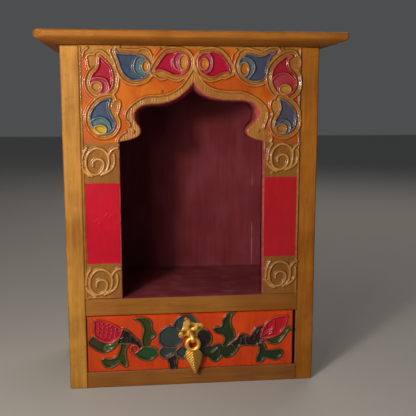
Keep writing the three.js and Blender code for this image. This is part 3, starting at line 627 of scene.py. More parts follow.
# The drawer's flowers, from the lowest coat to the top one: each a smooth closed curve through its points.
FLOWER_SHAPES = (
    ("dark", ((-27, 29.5), (-25.5, 24), (-24, 18.6), (-18.5, 18.6), (-18, 24), (-17, 30), (-20, 33),
              (-24, 31.5))),
    ("dark", ((-80, 49), (-77.5, 55), (-76, 60), (-74.5, 63), (-71, 63), (-67, 60), (-63, 55.5),
              (-58.5, 51), (-54.5, 49.3), (-51, 47), (-50, 44), (-53, 41.5), (-57, 41), (-59.5, 45.5),
              (-64, 48.5), (-69, 47), (-74, 47))),
    ("dark", ((40, 43), (44, 46.5), (47, 49), (50.5, 52.8), (54, 53.5), (58, 51.5), (62, 51.5), (65, 55.5),
              (68, 59.5), (72, 61.2), (76.5, 61.5), (75, 56), (74, 52), (78, 48.5), (74, 44.5), (69, 41.2),
              (64, 40.8), (58, 41.5), (52, 41), (49, 39), (46.5, 35), (43, 38))),
    ("dark", ((12, 60.5), (16.5, 57), (19.5, 51), (18, 44.5), (13, 40), (7, 41), (3, 50), (6, 58))),
    ("petal", ((-9, 76), (-3, 76), (2, 72.5), (5, 68), (2, 62), (-6, 60), (-12, 66))),
    ("petal", ((-12, 42.5), (-7, 39.5), (-6, 33.5), (-10.5, 29.3), (-15.5, 31.5), (-18, 37))),
    ("petal", ((-20.5, 63), (-19.8, 68.5), (-16.5, 73), (-11.5, 76), (-8, 74), (-6, 64), (-10, 57),
               (-17, 57))),
    ("petal", ((-19, 40), (-23, 43.5), (-30, 43.5), (-35, 40), (-35.5, 34.5), (-30.5, 30), (-25, 31),
               (-20.5, 35))),
    ("petal", ((-36.3, 50), (-35.8, 56.5), (-32.5, 61.5), (-27, 64.8), (-20, 64.5), (-14, 59), (-12, 51),
               (-15.5, 44), (-22, 41.5), (-30, 42.5), (-35, 46))),
    ("olive", ((-69, 46), (-71.5, 41), (-72, 36), (-71, 30), (-70, 24.5), (-71.5, 22.6), (-75, 24.5),
               (-78, 27.5), (-83, 24), (-88, 21.8), (-92, 23), (-95.5, 27), (-96.3, 30.5), (-93, 32),
               (-88, 31.3), (-83, 32.3), (-80, 34.5), (-78.3, 39), (-76.7, 44), (-76, 48))),
    ("olive", ((-61.5, 74.3), (-58, 75.5), (-52, 75), (-46.5, 73), (-44, 69), (-44.2, 64), (-43, 60.5),
               (-40.6, 57.5), (-41, 54.5), (-44.5, 52), (-47, 48), (-48.5, 43.5), (-52, 42.5), (-54, 47),
               (-54, 53), (-52.6, 59), (-52, 64), (-53.6, 68), (-57, 71.6))),
    ("olive", ((78, 47.5), (85, 48.5), (91, 51), (96, 54.5), (99, 58.6), (103, 60), (107.4, 57.6),
               (103.6, 56), (101, 53.6), (99, 50), (96, 46), (92, 42.5), (87, 41.5), (82, 43.5))),
    ("leaf", ((-110.3, 50), (-108, 54), (-104.5, 57), (-100, 54), (-96, 51), (-90, 49.5), (-84, 50),
              (-80, 50.3), (-80.6, 47.5), (-84, 43.5), (-89, 40.3), (-95, 39.4), (-100, 41), (-105, 44.7))),
    ("leaf", ((8, 39), (13, 41), (19, 41.4), (25, 43.3), (31, 43.6), (38, 44.6), (42, 42), (46, 37.5),
              (45, 33.4), (41, 29.8), (36, 28.6), (31, 29.6), (27, 26), (23, 24.5), (19.6, 26.4), (16, 30),
              (11, 32.5))),
    ("leaf", ((44.6, 78), (38.5, 76.4), (34, 73), (32, 69), (31.3, 65), (29, 62.6), (25, 62.3),
              (21.9, 60.5), (24, 57.3), (28.5, 55), (32.4, 53.3), (34, 50), (33.2, 46), (31, 42), (36, 41),
              (40.6, 44.5), (43.6, 49.6), (44, 55), (42, 60), (40, 65), (39.8, 70), (41.2, 74.6))),
    ("leaf", ((69.5, 42), (71.5, 38.5), (71, 33), (69.5, 28), (68.3, 24), (70.5, 21.8), (74, 21.8),
              (76.5, 24.5), (80, 26.3), (85, 24.8), (90, 23.8), (93.5, 25.5), (96.5, 29), (96.5, 32.5),
              (93, 35), (87, 34.8), (82, 34), (79, 35), (77.5, 39), (75, 42.5))),
    # painted highlight: this bright patch on the leaf under the left flower lies where a glint shows
    ("bright", ((-93, 43.4), (-91.6, 46), (-87.5, 47), (-83.6, 48.4), (-82, 47), (-85, 44), (-89.4, 42.6))),
    ("bright", ((-64.6, 37.3), (-60, 38), (-56, 41), (-52, 43), (-47, 43.2), (-42, 42.2), (-38.8, 40),
                (-37.8, 37), (-39.4, 33.6), (-42.4, 30.6), (-46.5, 28.9), (-51, 28.8), (-56, 31),
                (-60, 34.4))),
    ("bud", ((-66.4, 40), (-65.4, 43.4), (-62, 45.4), (-58.8, 43.6), (-58, 40.6), (-60, 37.8),
             (-63.6, 37.2))),
    ("crimson", ((73, 50), (74, 54), (76, 60), (79.5, 65), (84.5, 69), (91, 71.3), (97, 72.3), (101.6, 72),
                 (100.6, 66), (98.3, 60), (95, 55), (91, 52), (86, 50), (80, 49.2), (75.5, 48.6))),
    ("crimson", ((-103, 73.3), (-104, 66), (-103.7, 60), (-102, 56), (-98, 53), (-92, 50.7), (-86, 50.2),
                 (-81.6, 52.3), (-78, 56), (-75.5, 60.6), (-78, 65), (-83, 68), (-89, 71), (-95, 73),
                 (-99, 73.8))),
)
VEINS = (
    ((76.5, 51.5), (81, 54.6), (85.6, 58.4), (88, 63), (87.6, 68)),
    ((77.4, 62.2), (79.2, 60)),
    ((82, 52), (86, 55.4)),
    ((-69.6, 46.6), (-72.6, 42), (-74, 35.6)),
    ((-92.4, 44.6), (-88.5, 46), (-84, 47.6)),
    ((-76.4, 53), (-73.6, 55)),
    ((-70, 48.6), (-68.8, 52.2)),
    ((-67, 49), (-65.6, 51.6)),
    ((-16.6, 40.4), (-11.4, 45.6)),
    ((-29, 30.6), (-23, 34.4)),
    ((54.6, 49.2), (57, 51.2)),
    ((68, 53.6), (70.6, 57.4)),
    ((50.6, 44), (52.4, 47.6)),
    ((19.6, 33.6), (26.8, 39.4)),
    ((27, 31), (28.8, 36)),
    ((-20.6, 21), (-19.8, 26)),
    ((-72, 60), (-70, 56.6)),
    ((-66.5, 57.5), (-64.6, 53.6)),
    ((-61, 53), (-59.4, 49.6)),
    ((-57, 49), (-55.6, 45.6)),
    ((48.6, 48.4), (50.4, 45)),
    ((60, 50.6), (61, 46.6)),
    ((64.8, 54), (67.4, 50.6)),
    ((71, 60), (72.8, 56.4)),
    ((57, 45.6), (58.6, 42.6)),
    ((66.6, 46.6), (69.6, 44)),
)
FLOWER_DOTS = ((-99.6, 69.6), (-95.4, 70), (-91, 69.2), (-87, 67), (-99, 65.2), (-94.6, 65.4), (-90, 64.4),
               (-85.6, 63), (-81.4, 64), (-99.4, 60.6), (-95, 60.4), (-90.6, 60), (-86, 58.8), (-81.6, 60),
               (-78.2, 61.4), (-96.4, 56.4), (-91.8, 55.6), (-87.4, 54.8), (-82.6, 55.8))


def laid_shapes(points, shapes):
    """Overlapping shapes, the last on top: how deep each point is in every paint's visible part, and its
    distance from the nearest outline that no other shape covers."""
    cover = np.full(len(points), -REACH)
    line = np.full(len(points), REACH)
    paints = {}
    for paint, outline in reversed(shapes):
        depth = depth_inside(points, [smooth(outline, closed=True)])
        line = np.where(cover < BEAD + SHAPE_SHOWS, np.minimum(line, np.abs(depth)), line)
        paints[paint] = np.maximum(paints.get(paint, -REACH), np.minimum(depth + BEAD, -cover))
        cover = np.maximum(cover, depth + BEAD)
    return paints, line


# Meshes.


def quads(rows, columns, start=0, around=False, looped=False):
    """Faces of a grid of rows x columns points. around joins its last column to the first, and looped
    its last row to the first."""
    rows_used = np.arange(rows if looped else rows - 1)
    columns_used = np.arange(columns if around else columns - 1)
    row, column = np.meshgrid(rows_used, columns_used, indexing="ij")
    above, beside = (row + 1) % rows, (column + 1) % columns
    corners = [(row, column), (above, column), (above, beside), (row, beside)]
    return start + np.stack([(r * columns + c).ravel() for r, c in corners], 1)


def end_caps(start, rows, columns):
    """The first row and the last row, turned round, of a grid of points that starts at a number."""
    first = start + np.arange(columns)
    return [first, (first + (rows - 1) * columns)[::-1]]


def new_mesh(name, points, faces, caps=()):
    """A mesh object of points in millimetres, with four-sided faces and larger caps. Doubles are merged
    where grids meet, and every face is turned outwards."""
    mesh = bpy.data.meshes.new(name)
    mesh.from_pydata((points * MM).tolist(), [], faces.tolist() + [cap.tolist() for cap in caps])
    work = bmesh.new()
    work.from_mesh(mesh)
    bmesh.ops.remove_doubles(work, verts=work.verts, dist=SAME_POINT * MM)
    bmesh.ops.recalc_face_normals(work, faces=work.faces)
    work.to_mesh(mesh)
    work.free()
    mesh.update()
    piece = bpy.data.objects.new(name, mesh)
    bpy.context.collection.objects.link(piece)
    return piece


def read_points(piece):
    """A mesh's points in millimetres, as an array."""
    flat = np.empty(len(piece.data.vertices) * 3)
    piece.data.vertices.foreach_get("co", flat)
    return flat.reshape(-1, 3) / MM


def write_points(piece, points):
    """Puts an array of points in millimetres into a mesh."""
    piece.data.vertices.foreach_set("co", (points * MM).ravel())
    piece.data.update()


def write_values(piece, **values):
    """Stores named arrays as attributes with one number a point."""
    for name, array in values.items():
        attribute = piece.data.attributes.new(name, "FLOAT", "POINT")
        attribute.data.foreach_set("value", np.asarray(array, dtype=np.float32))


def face_layout(piece):
    """Centres, in millimetres, and normals of a mesh's faces."""
    count = len(piece.data.polygons)
    centres, normals = np.empty(count * 3), np.empty(count * 3)
    piece.data.polygons.foreach_get("center", centres)
    piece.data.polygons.foreach_get("normal", normals)
    return centres.reshape(-1, 3) / MM, normals.reshape(-1, 3)


def finish_piece(piece, body, node, materials, choose=None):
    """Gives a piece its materials, picks one for each face, and lets it stand for its CAD node."""
    for material in materials:
        piece.data.materials.append(material)
    if choose is not None:
        centres, normals = face_layout(piece)
        piece.data.polygons.foreach_set("material_index", choose(centres, normals).astype(np.int32))
    piece.data.polygons.foreach_set("use_smooth", np.ones(len(piece.data.polygons), dtype=bool))
    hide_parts(node)
    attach(piece, body)


def edge_places(low, high, radius, step):
    """Places along a board: crowded over the rounding at both ends, even between them."""
    rounding = radius * (1 - np.cos(np.linspace(0, np.pi / 2, 5)))
    count = max(2, int(round((high - low - 2 * radius) / step)) + 1)
    flat = np.linspace(low + radius, high - radius, count)
    return np.concatenate([low + rounding[:-1], flat, (high - rounding[:-1])[::-1]])


def box_skin(places):
    """Points and faces of the six sides of a box: on each, a grid through the places along its axes."""
    skins, faces, start = [], [], 0
    for axis in range(3):
        u, v = (axis + 1) % 3, (axis + 2) % 3
        for level, turned in ((places[axis][0], True), (places[axis][-1], False)):
            skin = np.empty((len(places[u]), len(places[v]), 3))
            skin[..., u], skin[..., v] = np.meshgrid(places[u], places[v], indexing="ij")
            skin[..., axis] = level
            grid = quads(*skin.shape[:2], start)
            faces.append(grid[:, ::-1] if turned else grid)
            skins.append(skin.reshape(-1, 3))
            start += len(skins[-1])
    return np.concatenate(skins), np.concatenate(faces)


def edge_share(points, low, high, radius):
    """How far each point is out on a rounded edge, 0 to 1: its distance from the box shrunk by the radius,
    over the radius, where it stands outside that box along two axes or more."""
    away = points - np.clip(points, low + radius, high - radius)
    axes = (np.abs(away) > 0.12 * radius).sum(1)
    return np.clip(axes - 1, 0, 1) * np.clip(np.linalg.norm(away, axis=1) / radius, 0, 1)


def worn_board(name, low, high, radius, step, wear, seed, tight):
    """A board with worn, rounded edges. Each point p of a plain box moves to q + r (p - q) / |p - q|,
    where q is the nearest point to p in the box shrunk by r; at edges r is cut by a smooth wear. Towards
    the ends of x named in tight, -1 or 1, where another board meets it, r falls to a quarter."""
    p, faces = box_skin([edge_places(low[k], high[k], radius, step) for k in range(3)])
    near_end = np.zeros(len(p))
    for end in tight:
        gap = high[0] - p[:, 0] if end > 0 else p[:, 0] - low[0]
        near_end = np.maximum(near_end, np.clip((TIGHT_RUN - gap) / TIGHT_FADE, 0, 1))
    bend = (radius * (1 - 0.75 * near_end))[:, None]
    q = np.clip(p, low + bend, high - bend)
    away = p - q
    length = np.linalg.norm(away, axis=1, keepdims=True)
    edge = np.clip((length / bend - 1) / 0.35, 0, 1)
    chips = np.clip(waves(p, WEAR_PATCH, seed) + 0.6 * waves(p, WEAR_NICK, seed + 1), 0, 1.3)[:, None]
    loss = wear * edge * chips * bend / radius
    piece = new_mesh(name, q + away / length * (bend - loss), faces)
    write_values(piece, edge=edge_share(read_points(piece), low, high, radius))
    return piece


def relief_height(xz, distance, seed):
    """Height of the gesso at a distance from its lines: a half round, whose width and height both waver
    along the line."""
    half = LINE_HALF * (1 + WIDTH_WAVER * waves(xz, 9, seed))
    height = LINE_HEIGHT * (1 - HEIGHT_WAVER + HEIGHT_WAVER * waves(xz, 14, seed + 1))
    return height * np.sqrt(np.clip(1 - (distance / half) ** 2, 0, 1))


def flat_panel(name, low, high, step):
    """A board whose front face (towards -Y) is a fine grid; its sides and back are plain."""
    xs = np.linspace(low[0], high[0], int((high[0] - low[0]) / step) + 1)
    zs = np.linspace(low[2], high[2], int((high[2] - low[2]) / step) + 1)
    x, z = np.meshgrid(xs, zs, indexing="ij")
    points = np.stack([x, np.full_like(x, low[1]), z], -1).reshape(-1, 3)
    number = np.arange(x.size).reshape(x.shape)
    rim = np.concatenate([number[:-1, 0], number[-1, :-1], number[:0:-1, -1], number[0, :0:-1]])
    behind = points[rim] * (1, 0, 1) + (0, high[1], 0)
    far = x.size + np.arange(len(rim))
    walls = np.stack([rim, far, np.roll(far, -1), np.roll(rim, -1)], 1)
    return new_mesh(name, np.vstack([points, behind]), np.vstack([quads(*x.shape), walls]), [far[::-1]])


def cut(piece, tool):
    """Cuts a tool's shape out of a piece, and throws the tool away."""
    modifier = piece.modifiers.new("cut", "BOOLEAN")
    modifier.operation = "DIFFERENCE"
    modifier.solver = "EXACT"
    modifier.object = tool
    evaluated = piece.evaluated_get(bpy.context.evaluated_depsgraph_get())
    cut_mesh = bpy.data.meshes.new_from_object(evaluated)
    piece.modifiers.clear()
    piece.data = cut_mesh
    bpy.data.objects.remove(tool)


def arch_tool():
    """A closed loft between the opening's front and back outlines, run past both faces of the board."""
    front, back = (arch_outline(halves, SHELF_TOP - SILL_DROP) for halves in (ARCH_FRONT, ARCH_BACK))
    levels = []
    for share in TOOL_SHARES:
        outline = front + (back - front) * share
        depth = np.full(len(front), FRONT + ARCH_THICKNESS * share)
        levels.append(np.stack([outline[:, 0], depth, outline[:, 1]], 1))
    faces = quads(2, len(front), around=True)
    return new_mesh("arch_tool", np.vstack(levels), faces, end_caps(0, 2, len(front)))


# Materials. The size of a pattern is that of the real grain, brush mark or stain.


def linear(colour):
    """A six-digit sRGB hex colour as linear RGBA."""
    values = [int(colour[i : i + 2], 16) / 255 for i in (0, 2, 4)]
    return tuple(v / 12.92 if v <= 0.04045 else ((v + 0.055) / 1.055) ** 2.4 for v in values) + (1.0,)


def add(tree, kind, inputs=(), output=0, **settings):
    """Adds a node with its settings and gives one of its outputs. inputs gives its sockets, in their order
    or by their keys, each a value or a socket to link."""
    made = tree.nodes.new(kind)
    for key, value in settings.items():
        setattr(made, key, value)
    for key, value in inputs.items() if isinstance(inputs, dict) else enumerate(inputs):
        if isinstance(value, bpy.types.NodeSocket):
            tree.links.new(value, made.inputs[key])
        else:
            made.inputs[key].default_value = value
    return made.outputs[output] if made.outputs else None


def new_material(name):
    """An empty material and its node tree."""
    material = bpy.data.materials.new(name)
    material.use_nodes = True
    material.node_tree.nodes.clear()
    return material, material.node_tree


def speckle(tree, size, stretch=EVENLY, detail=4.0):
    """A noise from 0 to 1 whose grains are size millimetres across, drawn out by stretch along each axis."""
    place = add(tree, "ShaderNodeTexCoord", output="Object")
    scale = [1 / (size * MM * share) for share in stretch]
    stretched = add(tree, "ShaderNodeMapping", {"Vector": place, "Scale": scale})
    return add(tree, "ShaderNodeTexNoise", {"Vector": stretched, "Scale": 1.0, "Detail": detail}, "Fac")


def patches(tree, size, low, high, least=0.0, most=1.0, stretch=EVENLY, detail=4.0):
    """Soft patches: a share eased from least, where a noise is under low, to most, where it is over high."""
    noise = speckle(tree, size, stretch, detail)
    return add(tree, "ShaderNodeMapRange", [noise, low, high, least, most], **EASED)


def by_value(tree, name, low, high, least=0.0, most=1.0):
    """A share from one of the piece's own values: eased from least at low to most at high."""
    value = add(tree, "ShaderNodeAttribute", output="Fac", attribute_name=name)
    return add(tree, "ShaderNodeMapRange", [value, low, high, least, most], **EASED)


def rightward(tree):
    """How far to the right of the middle each point is, in metres."""
    place = add(tree, "ShaderNodeTexCoord", output="Object")
    return add(tree, "ShaderNodeSeparateXYZ", [place], "X")


def coats(tree, ground, *layers):
    """Coats laid over a ground in turn: each is a hex colour or a colour socket, and how far it covers."""
    for colour, cover in layers:
        above = linear(colour) if isinstance(colour, str) else colour
        mixed = {MIX_COVER: cover, MIX_BELOW: ground, MIX_ABOVE: above}
        ground = add(tree, "ShaderNodeMix", mixed, MIX_COLOUR, data_type="RGBA")
    return ground


def brushed(tree, light, dark, stretch, size=3.0):
    """Paint laid with a bristle brush: two tones in long streaks, with a broad, cloudy change. Bristle
    marks are about 0.4 mm apart, too fine to show, so the streaks are drawn coarser."""
    streaks = patches(tree, size, 0.3, 0.75, most=0.4, stretch=stretch)
    clouds = patches(tree, CLOUD, 0.3, 0.72, most=0.5, detail=2.0)
    share = add(tree, "ShaderNodeMath", [streaks, clouds], operation="ADD")
    return coats(tree, linear(light), (dark, share))


def surface(tree, colour, roughness, height=None, depth=0.3, metallic=0.0, varnish=0.0):
    """The shader and the output, with a bump as many millimetres deep as depth says."""
    sockets = {
        "Base Color": colour,
        "Roughness": roughness,
        "Metallic": metallic,
        "Coat Weight": varnish,
        "Coat Roughness": VARNISH_ROUGHNESS,
        "Specular IOR Level": METAL_SPECULAR if metallic else MATT_SPECULAR,
    }
    if height is not None:
        relief = {"Height": height, "Strength": 1.0, "Distance": depth * MM}
        sockets["Normal"] = add(tree, "ShaderNodeBump", relief)
    shader = add(tree, "ShaderNodeBsdfPrincipled", sockets)
    add(tree, "ShaderNodeOutputMaterial", {"Surface": shader})


def darken_across(tree, start, end, share):
    """A darker brown that thickens to a share, from one place across the front to another. On the arch board
    it is painted shade, on the side away from the lamp.
    """
    ends = [rightward(tree), start * MM, end * MM, 0.0, share]
    return DARKENING, add(tree, "ShaderNodeMapRange", ends, **EASED)


def ochre_distemper(name, grain, light, dark=OCHRE_DARK, darkened=None):
    """Glue paint brushed on softwood boards. It gives the eye a satin gold-ochre, streaked along the
    brush in two tones, blotched with age, and rubbed through to red-brown where edges are handled."""
    material, tree = new_material(name)
    ground = brushed(tree, light, dark, grain)
    if darkened:
        # A darker brown laid across the board, where asked for.
        ground = coats(tree, ground, darken_across(tree, *darkened))
    edge = add(tree, "ShaderNodeAttribute", output="Fac", attribute_name="edge")
    rubbing = add(tree, "ShaderNodeMath", [speckle(tree, 4), 0.9, edge], operation="MULTIPLY_ADD")
    rubbed = add(tree, "ShaderNodeMapRange", [rubbing, 0.95, 1.5, 0.0, 0.7], **EASED)
    blotches = patches(tree, 9, 0.58, 0.75, most=0.4)
    colour = coats(tree, ground, (OCHRE_DARK, blotches), (RUBBED, rubbed))
    roughness = patches(tree, 6, 0.3, 0.7, 0.42, 0.6, grain)
    surface(tree, colour, roughness, speckle(tree, 0.9, grain, 3.0), depth=0.25)
    return material


def maroon_distemper(name, light, dark, scuffed, grain, seam=None):
    """Thin glue paint brushed on planed boards. It gives the eye a matt dark red with brush marks and
    paler scuffs, and a pale line where it has cracked along the seam of two boards."""
    material, tree = new_material(name)
    scuffs = patches(tree, 24, 0.45, 0.7, stretch=(1, 1, 2))
    thin = add(tree, "ShaderNodeMath", [scuffs, 0.5], operation="MULTIPLY")
    colour = coats(tree, brushed(tree, light, dark, grain, 5.0), (scuffed, thin))
    if seam is not None:
        beside = add(tree, "ShaderNodeMath", [rightward(tree), seam * MM], operation="SUBTRACT")
        away = add(tree, "ShaderNodeMath", [beside], operation="ABSOLUTE")
        open_line = add(tree, "ShaderNodeMapRange", [away, 0.2 * MM, 1.0 * MM, 0.5, 0.0], **EASED)
        cracked = add(tree, "ShaderNodeMath", [open_line, scuffs], operation="MULTIPLY")
        colour = coats(tree, colour, (CRACK, cracked))
    surface(tree, colour, 0.72, speckle(tree, 1.0, grain, 3.0), depth=0.2)
    return material


def sawn_edge_paint():
    """Glue paint on the arch's fretsawn edge. It gives the eye a thin, patchy pink-brown over the ridges
    that the saw left."""
    material, tree = new_material("sawn_edge_paint")
    colour = coats(tree, linear(REVEAL), (REVEAL_DARK, patches(tree, 5, 0.4, 0.7)))
    surface(tree, colour, 0.6, speckle(tree, 1.2, (1, 6, 1)))
    return material


def sawn_softwood():
    """Softwood left as sawn. It gives the eye a pale, dull board with long darker grain."""
    material, tree = new_material("sawn_softwood")
    colour = brushed(tree, RAW_WOOD, RAW_WOOD_DARK, ACROSS, 2.2)
    surface(tree, colour, 0.8, speckle(tree, 0.8, ACROSS, 3.0))
    return material


def painted_inside(tree, paint, light, dark, wander):
    """A brushed coat inside the outlines of one of the piece's paints, its edge wandering a little."""
    depth = add(tree, "ShaderNodeAttribute", output="Fac", attribute_name=paint)
    wandering = add(tree, "ShaderNodeMath", [depth, wander], operation="ADD")
    cover = add(tree, "ShaderNodeMapRange", [wandering, -PAINT_EDGE, PAINT_EDGE, 0.0, 1.0], **EASED)
    return brushed(tree, light, dark, (1, 1, 5), 2.2), cover


def varnished_gesso(name, ground, paints, patch, worn_and_highlit, darkened, scrolls=False):
    """Poster paint over piped gesso, varnished. It gives the eye flat, brushed colours between raised
    lines, and glints along the lines. Painted into the colour are pale line tops, partly rubbed gesso and
    partly painted highlight; painted shade at the lines' feet and between the scroll blocks' strokes; and
    a darker brown laid across the front."""
    material, tree = new_material(name)
    drift = add(tree, "ShaderNodeMath", [speckle(tree, 4), 0.5], operation="SUBTRACT")
    wander = add(tree, "ShaderNodeMath", [drift, 1.2], operation="MULTIPLY")
    thin = patches(tree, 26, 0.48, 0.64, most=0.5, stretch=(1, 1, 1.6))
    colour = coats(tree, brushed(tree, *ground, (1, 1, 6), 4.0), (patch, thin))
    for paint, light, dark in paints:
        colour = coats(tree, colour, painted_inside(tree, paint, light, dark, wander))
    # Painted shade: a dark band along the foot of each piped line, where its shadow falls.
    line = add(tree, "ShaderNodeAttribute", output="Fac", attribute_name="line")
    beside = add(tree, "ShaderNodeMath", [line, LINE_FOOT], operation="SUBTRACT")
    away = add(tree, "ShaderNodeMath", [beside], operation="ABSOLUTE")
    foot_shade_cover = add(tree, "ShaderNodeMapRange", [away, 0.0, 0.45, 0.42, 0.0], **EASED)
    colour = coats(tree, colour, (FOOT_SHADE, foot_shade_cover))
    # Where the line tops are painted pale: partly rubbed gesso, partly painted highlight.
    crest = patches(tree, 6, 0.35, 0.7, *worn_and_highlit)
    # On the scroll blocks the stroke tops get more painted highlight, and painted shade lies between the
    # strokes.
    if scrolls:
        scroll = by_value(tree, "scroll", -0.5, 0.5)
        crest = add(tree, "ShaderNodeMath", [scroll, 0.14, crest], operation="MULTIPLY_ADD")
        between_lines = by_value(tree, "line", 1.1, 2.4, 0.0, 0.42)
        hollow = add(tree, "ShaderNodeMath", [scroll, between_lines], operation="MULTIPLY")
        colour = coats(tree, colour, (SCROLL_RECESS_SHADE, hollow))
    # The tops of the lines, painted pale as rubbed gesso and as painted highlight.
    tops = by_value(tree, "line", 0.1, 1.0, 1.0, 0.0)
    rubbed = add(tree, "ShaderNodeMath", [tops, crest], operation="MULTIPLY")
    # Then the pale line tops (rubbed gesso and painted highlight) and the darker brown across the front
    # (painted shade on the arch board).
    colour = coats(tree, colour, (GESSO_AND_HIGHLIGHT, rubbed), darken_across(tree, *darkened))
    ridge = by_value(tree, "line", 0.15, 1.35, 1.0, 0.0)
    height = add(
        tree, "ShaderNodeMath", [speckle(tree, 1.6, (1, 1, 4), 3.0), 0.035, ridge], operation="MULTIPLY_ADD"
    )
    surface(tree, colour, patches(tree, 5, 0.3, 0.7, 0.42, 0.58), height, varnish=0.5)
    return material


def cast_brass():
    """Brass cast in sand and chased by hand. It gives the eye a warm, half-bright gold on the high places
    that hands polish, and dark brown tarnish in the hollows."""
    material, tree = new_material("cast_brass")
    hollow = add(tree, "ShaderNodeAttribute", output="Fac", attribute_name="hollow")
    shelter = add(tree, "ShaderNodeMath", [hollow, speckle(tree, 2.5)], operation="ADD")
    tarnish = add(tree, "ShaderNodeMapRange", [shelter, 0.7, 1.5, 0.0, 1.0], **EASED)
    colour = coats(tree, linear(BRASS), (BRASS_DARK, tarnish))
    roughness = patches(tree, 1.5, 0.3, 0.7, 0.4, 0.56)
    surface(tree, colour, roughness, speckle(tree, 0.5), depth=0.12, metallic=1.0)
    return material


ochre_pale = ochre_distemper("ochre_distemper_pale", VERTICAL, OCHRE_PALE)
ochre_brown = ochre_distemper("ochre_distemper_brown", VERTICAL, OCHRE_BROWN, OCHRE_DEEP)
ochre_level = ochre_distemper("ochre_distemper_level", LENGTHWISE, OCHRE)
# The rail grows darker towards its right end.
ochre_rail = ochre_distemper("ochre_distemper_rail", LENGTHWISE, OCHRE_RAIL, darkened=(10, 120, 0.4))
ochre_low = ochre_distemper("ochre_distemper_low", LENGTHWISE, OCHRE_LOW, OCHRE_LOW_DARK)
maroon = maroon_distemper("maroon_distemper", MAROON, MAROON_DARK, SCUFFED, VERTICAL)
maroon_back = maroon_distemper("maroon_distemper_back", MAROON, MAROON_DARK, SCUFFED, VERTICAL, BACK_SEAM)
# The niche floor is painted a lighter maroon than the walls, as if lit: painted light.
maroon_floor_painted_lit = maroon_distemper(
    "maroon_distemper_floor_painted_lit", LIT_FLOOR_MAROON, LIT_FLOOR_MAROON_DARK, LIT_FLOOR_SCUFFED, LENGTHWISE
)
reveal = sawn_edge_paint()
bare = sawn_softwood()
brass = cast_brass()
arch_ornament = varnished_gesso(
    "varnished_gesso_arch",
    (ORANGE, ORANGE_DEEP),
    (
        ("gold", OCHRE_LIGHT, OCHRE_DARK),
        ("panel", CRIMSON, CRIMSON_DARK),
        ("crimson", MAGENTA, MAGENTA_DARK),
        ("blue", SLATE_BLUE, NIGHT_BLUE),
        ("rose", ROSE, CRIMSON_DARK),
        ("teal", TEAL, SLATE_BLUE),
        ("ochre_ball", OCHRE_LIGHT, OCHRE_DARK),
        ("amber_ball", AMBER, OCHRE_DARK),
        ("lemon_ball", LEMON, OCHRE),
    ),
    patch=ORANGE_THIN,
    worn_and_highlit=(0.04, 0.24),
    # Painted shade: the arch board darkens towards its right side, away from the lamp.
    darkened=(20, 115, 0.26),
    scrolls=True,
)
drawer_ornament = varnished_gesso(
    "varnished_gesso_drawer",
    (DRAWER_ORANGE, DRAWER_ORANGE_DEEP),
    (
        ("dark", BRANCH, BRANCH_DARK),
        ("petal", PETAL, PETAL_DARK),
        ("olive", OLIVE, OLIVE_DARK),
        ("leaf", LEAF, LEAF_DARK),
        ("bright", LEAF_BRIGHT, LEAF),
        ("bud", BUD, CRIMSON_DARK),
        ("crimson", CRIMSON, CRIMSON_DARK),
        # painted highlight on the raised dots of the left flower
        ("dots", DOT_HIGHLIGHT_PINK, DOT_HIGHLIGHT_PINK_DARK),
    ),
    patch=DRAWER_ORANGE_THIN,
    worn_and_highlit=(0.02, 0.2),
    # The drawer grows darker towards its left end.
    darkened=(-86, -111, 0.3),
)


# The cabinet.


def side_paint(centres, normals):
    """Side boards: ochre outside, maroon in the niche, bare wood in the drawer's bay."""
    inward = (normals[:, 0] * np.sign(centres[:, 0]) < -0.7) & (centres[:, 1] > FRONT + FRONT_TURN)
    return np.where(inward, np.where(centres[:, 2] > SHELF_TOP, 1, 2), 0)


def shelf_paint(centres, normals):
    """The shelf: maroon on top, bare below, ochre in front."""
    return np.where(normals[:, 2] > 0.7, 1, np.where(normals[:, 1] < -0.4, 0, 2))


def bottom_paint(centres, normals):
    """The bottom board: ochre in front, bare wood elsewhere."""
    return np.where(normals[:, 1] < -0.4, 0, 1)


def back_paint(centres, normals):
    """The back panel: maroon in the niche, bare in the drawer's bay, thin brown paint outside."""
    inward = normals[:, 1] < -0.5
    return np.where(inward, np.where(centres[:, 2] > SHELF_TOP, 0, 1), 2)


def bare_all_over(centres, normals):
    """Bare wood all over."""
    return np.zeros(len(centres))


def board_piece(node, materials, choose, radius, step=4.0, wear=0.45, seed=1, body="cabinet", tight=()):
    """A worn board in the place of a CAD board."""
    low, high = node_box(node)
    piece = worn_board("worn_" + node, low, high, radius, step, wear, seed, tight)
    finish_piece(piece, body, node, materials, choose)


def cabinet_boards():
    """The five plain boards of the cabinet; the rails' ends butt tightly against the side boards."""
    board_piece("side_board_left", [ochre_pale, maroon, bare], side_paint, 1.3, seed=3, tight=(1,))
    board_piece("side_board_right", [ochre_brown, maroon, bare], side_paint, 1.3, seed=5, tight=(-1,))
    shelf_materials = [ochre_rail, maroon_floor_painted_lit, bare]
    board_piece("shelf_board", shelf_materials, shelf_paint, 0.7, wear=0.3, seed=7, tight=(-1, 1))
    board_piece("bottom_board", [ochre_low, bare], bottom_paint, 0.9, seed=9, tight=(-1, 1))
    board_piece("back_panel", [maroon_back, bare, ochre_brown], back_paint, 0.5, 8.0, 0.2, seed=11)


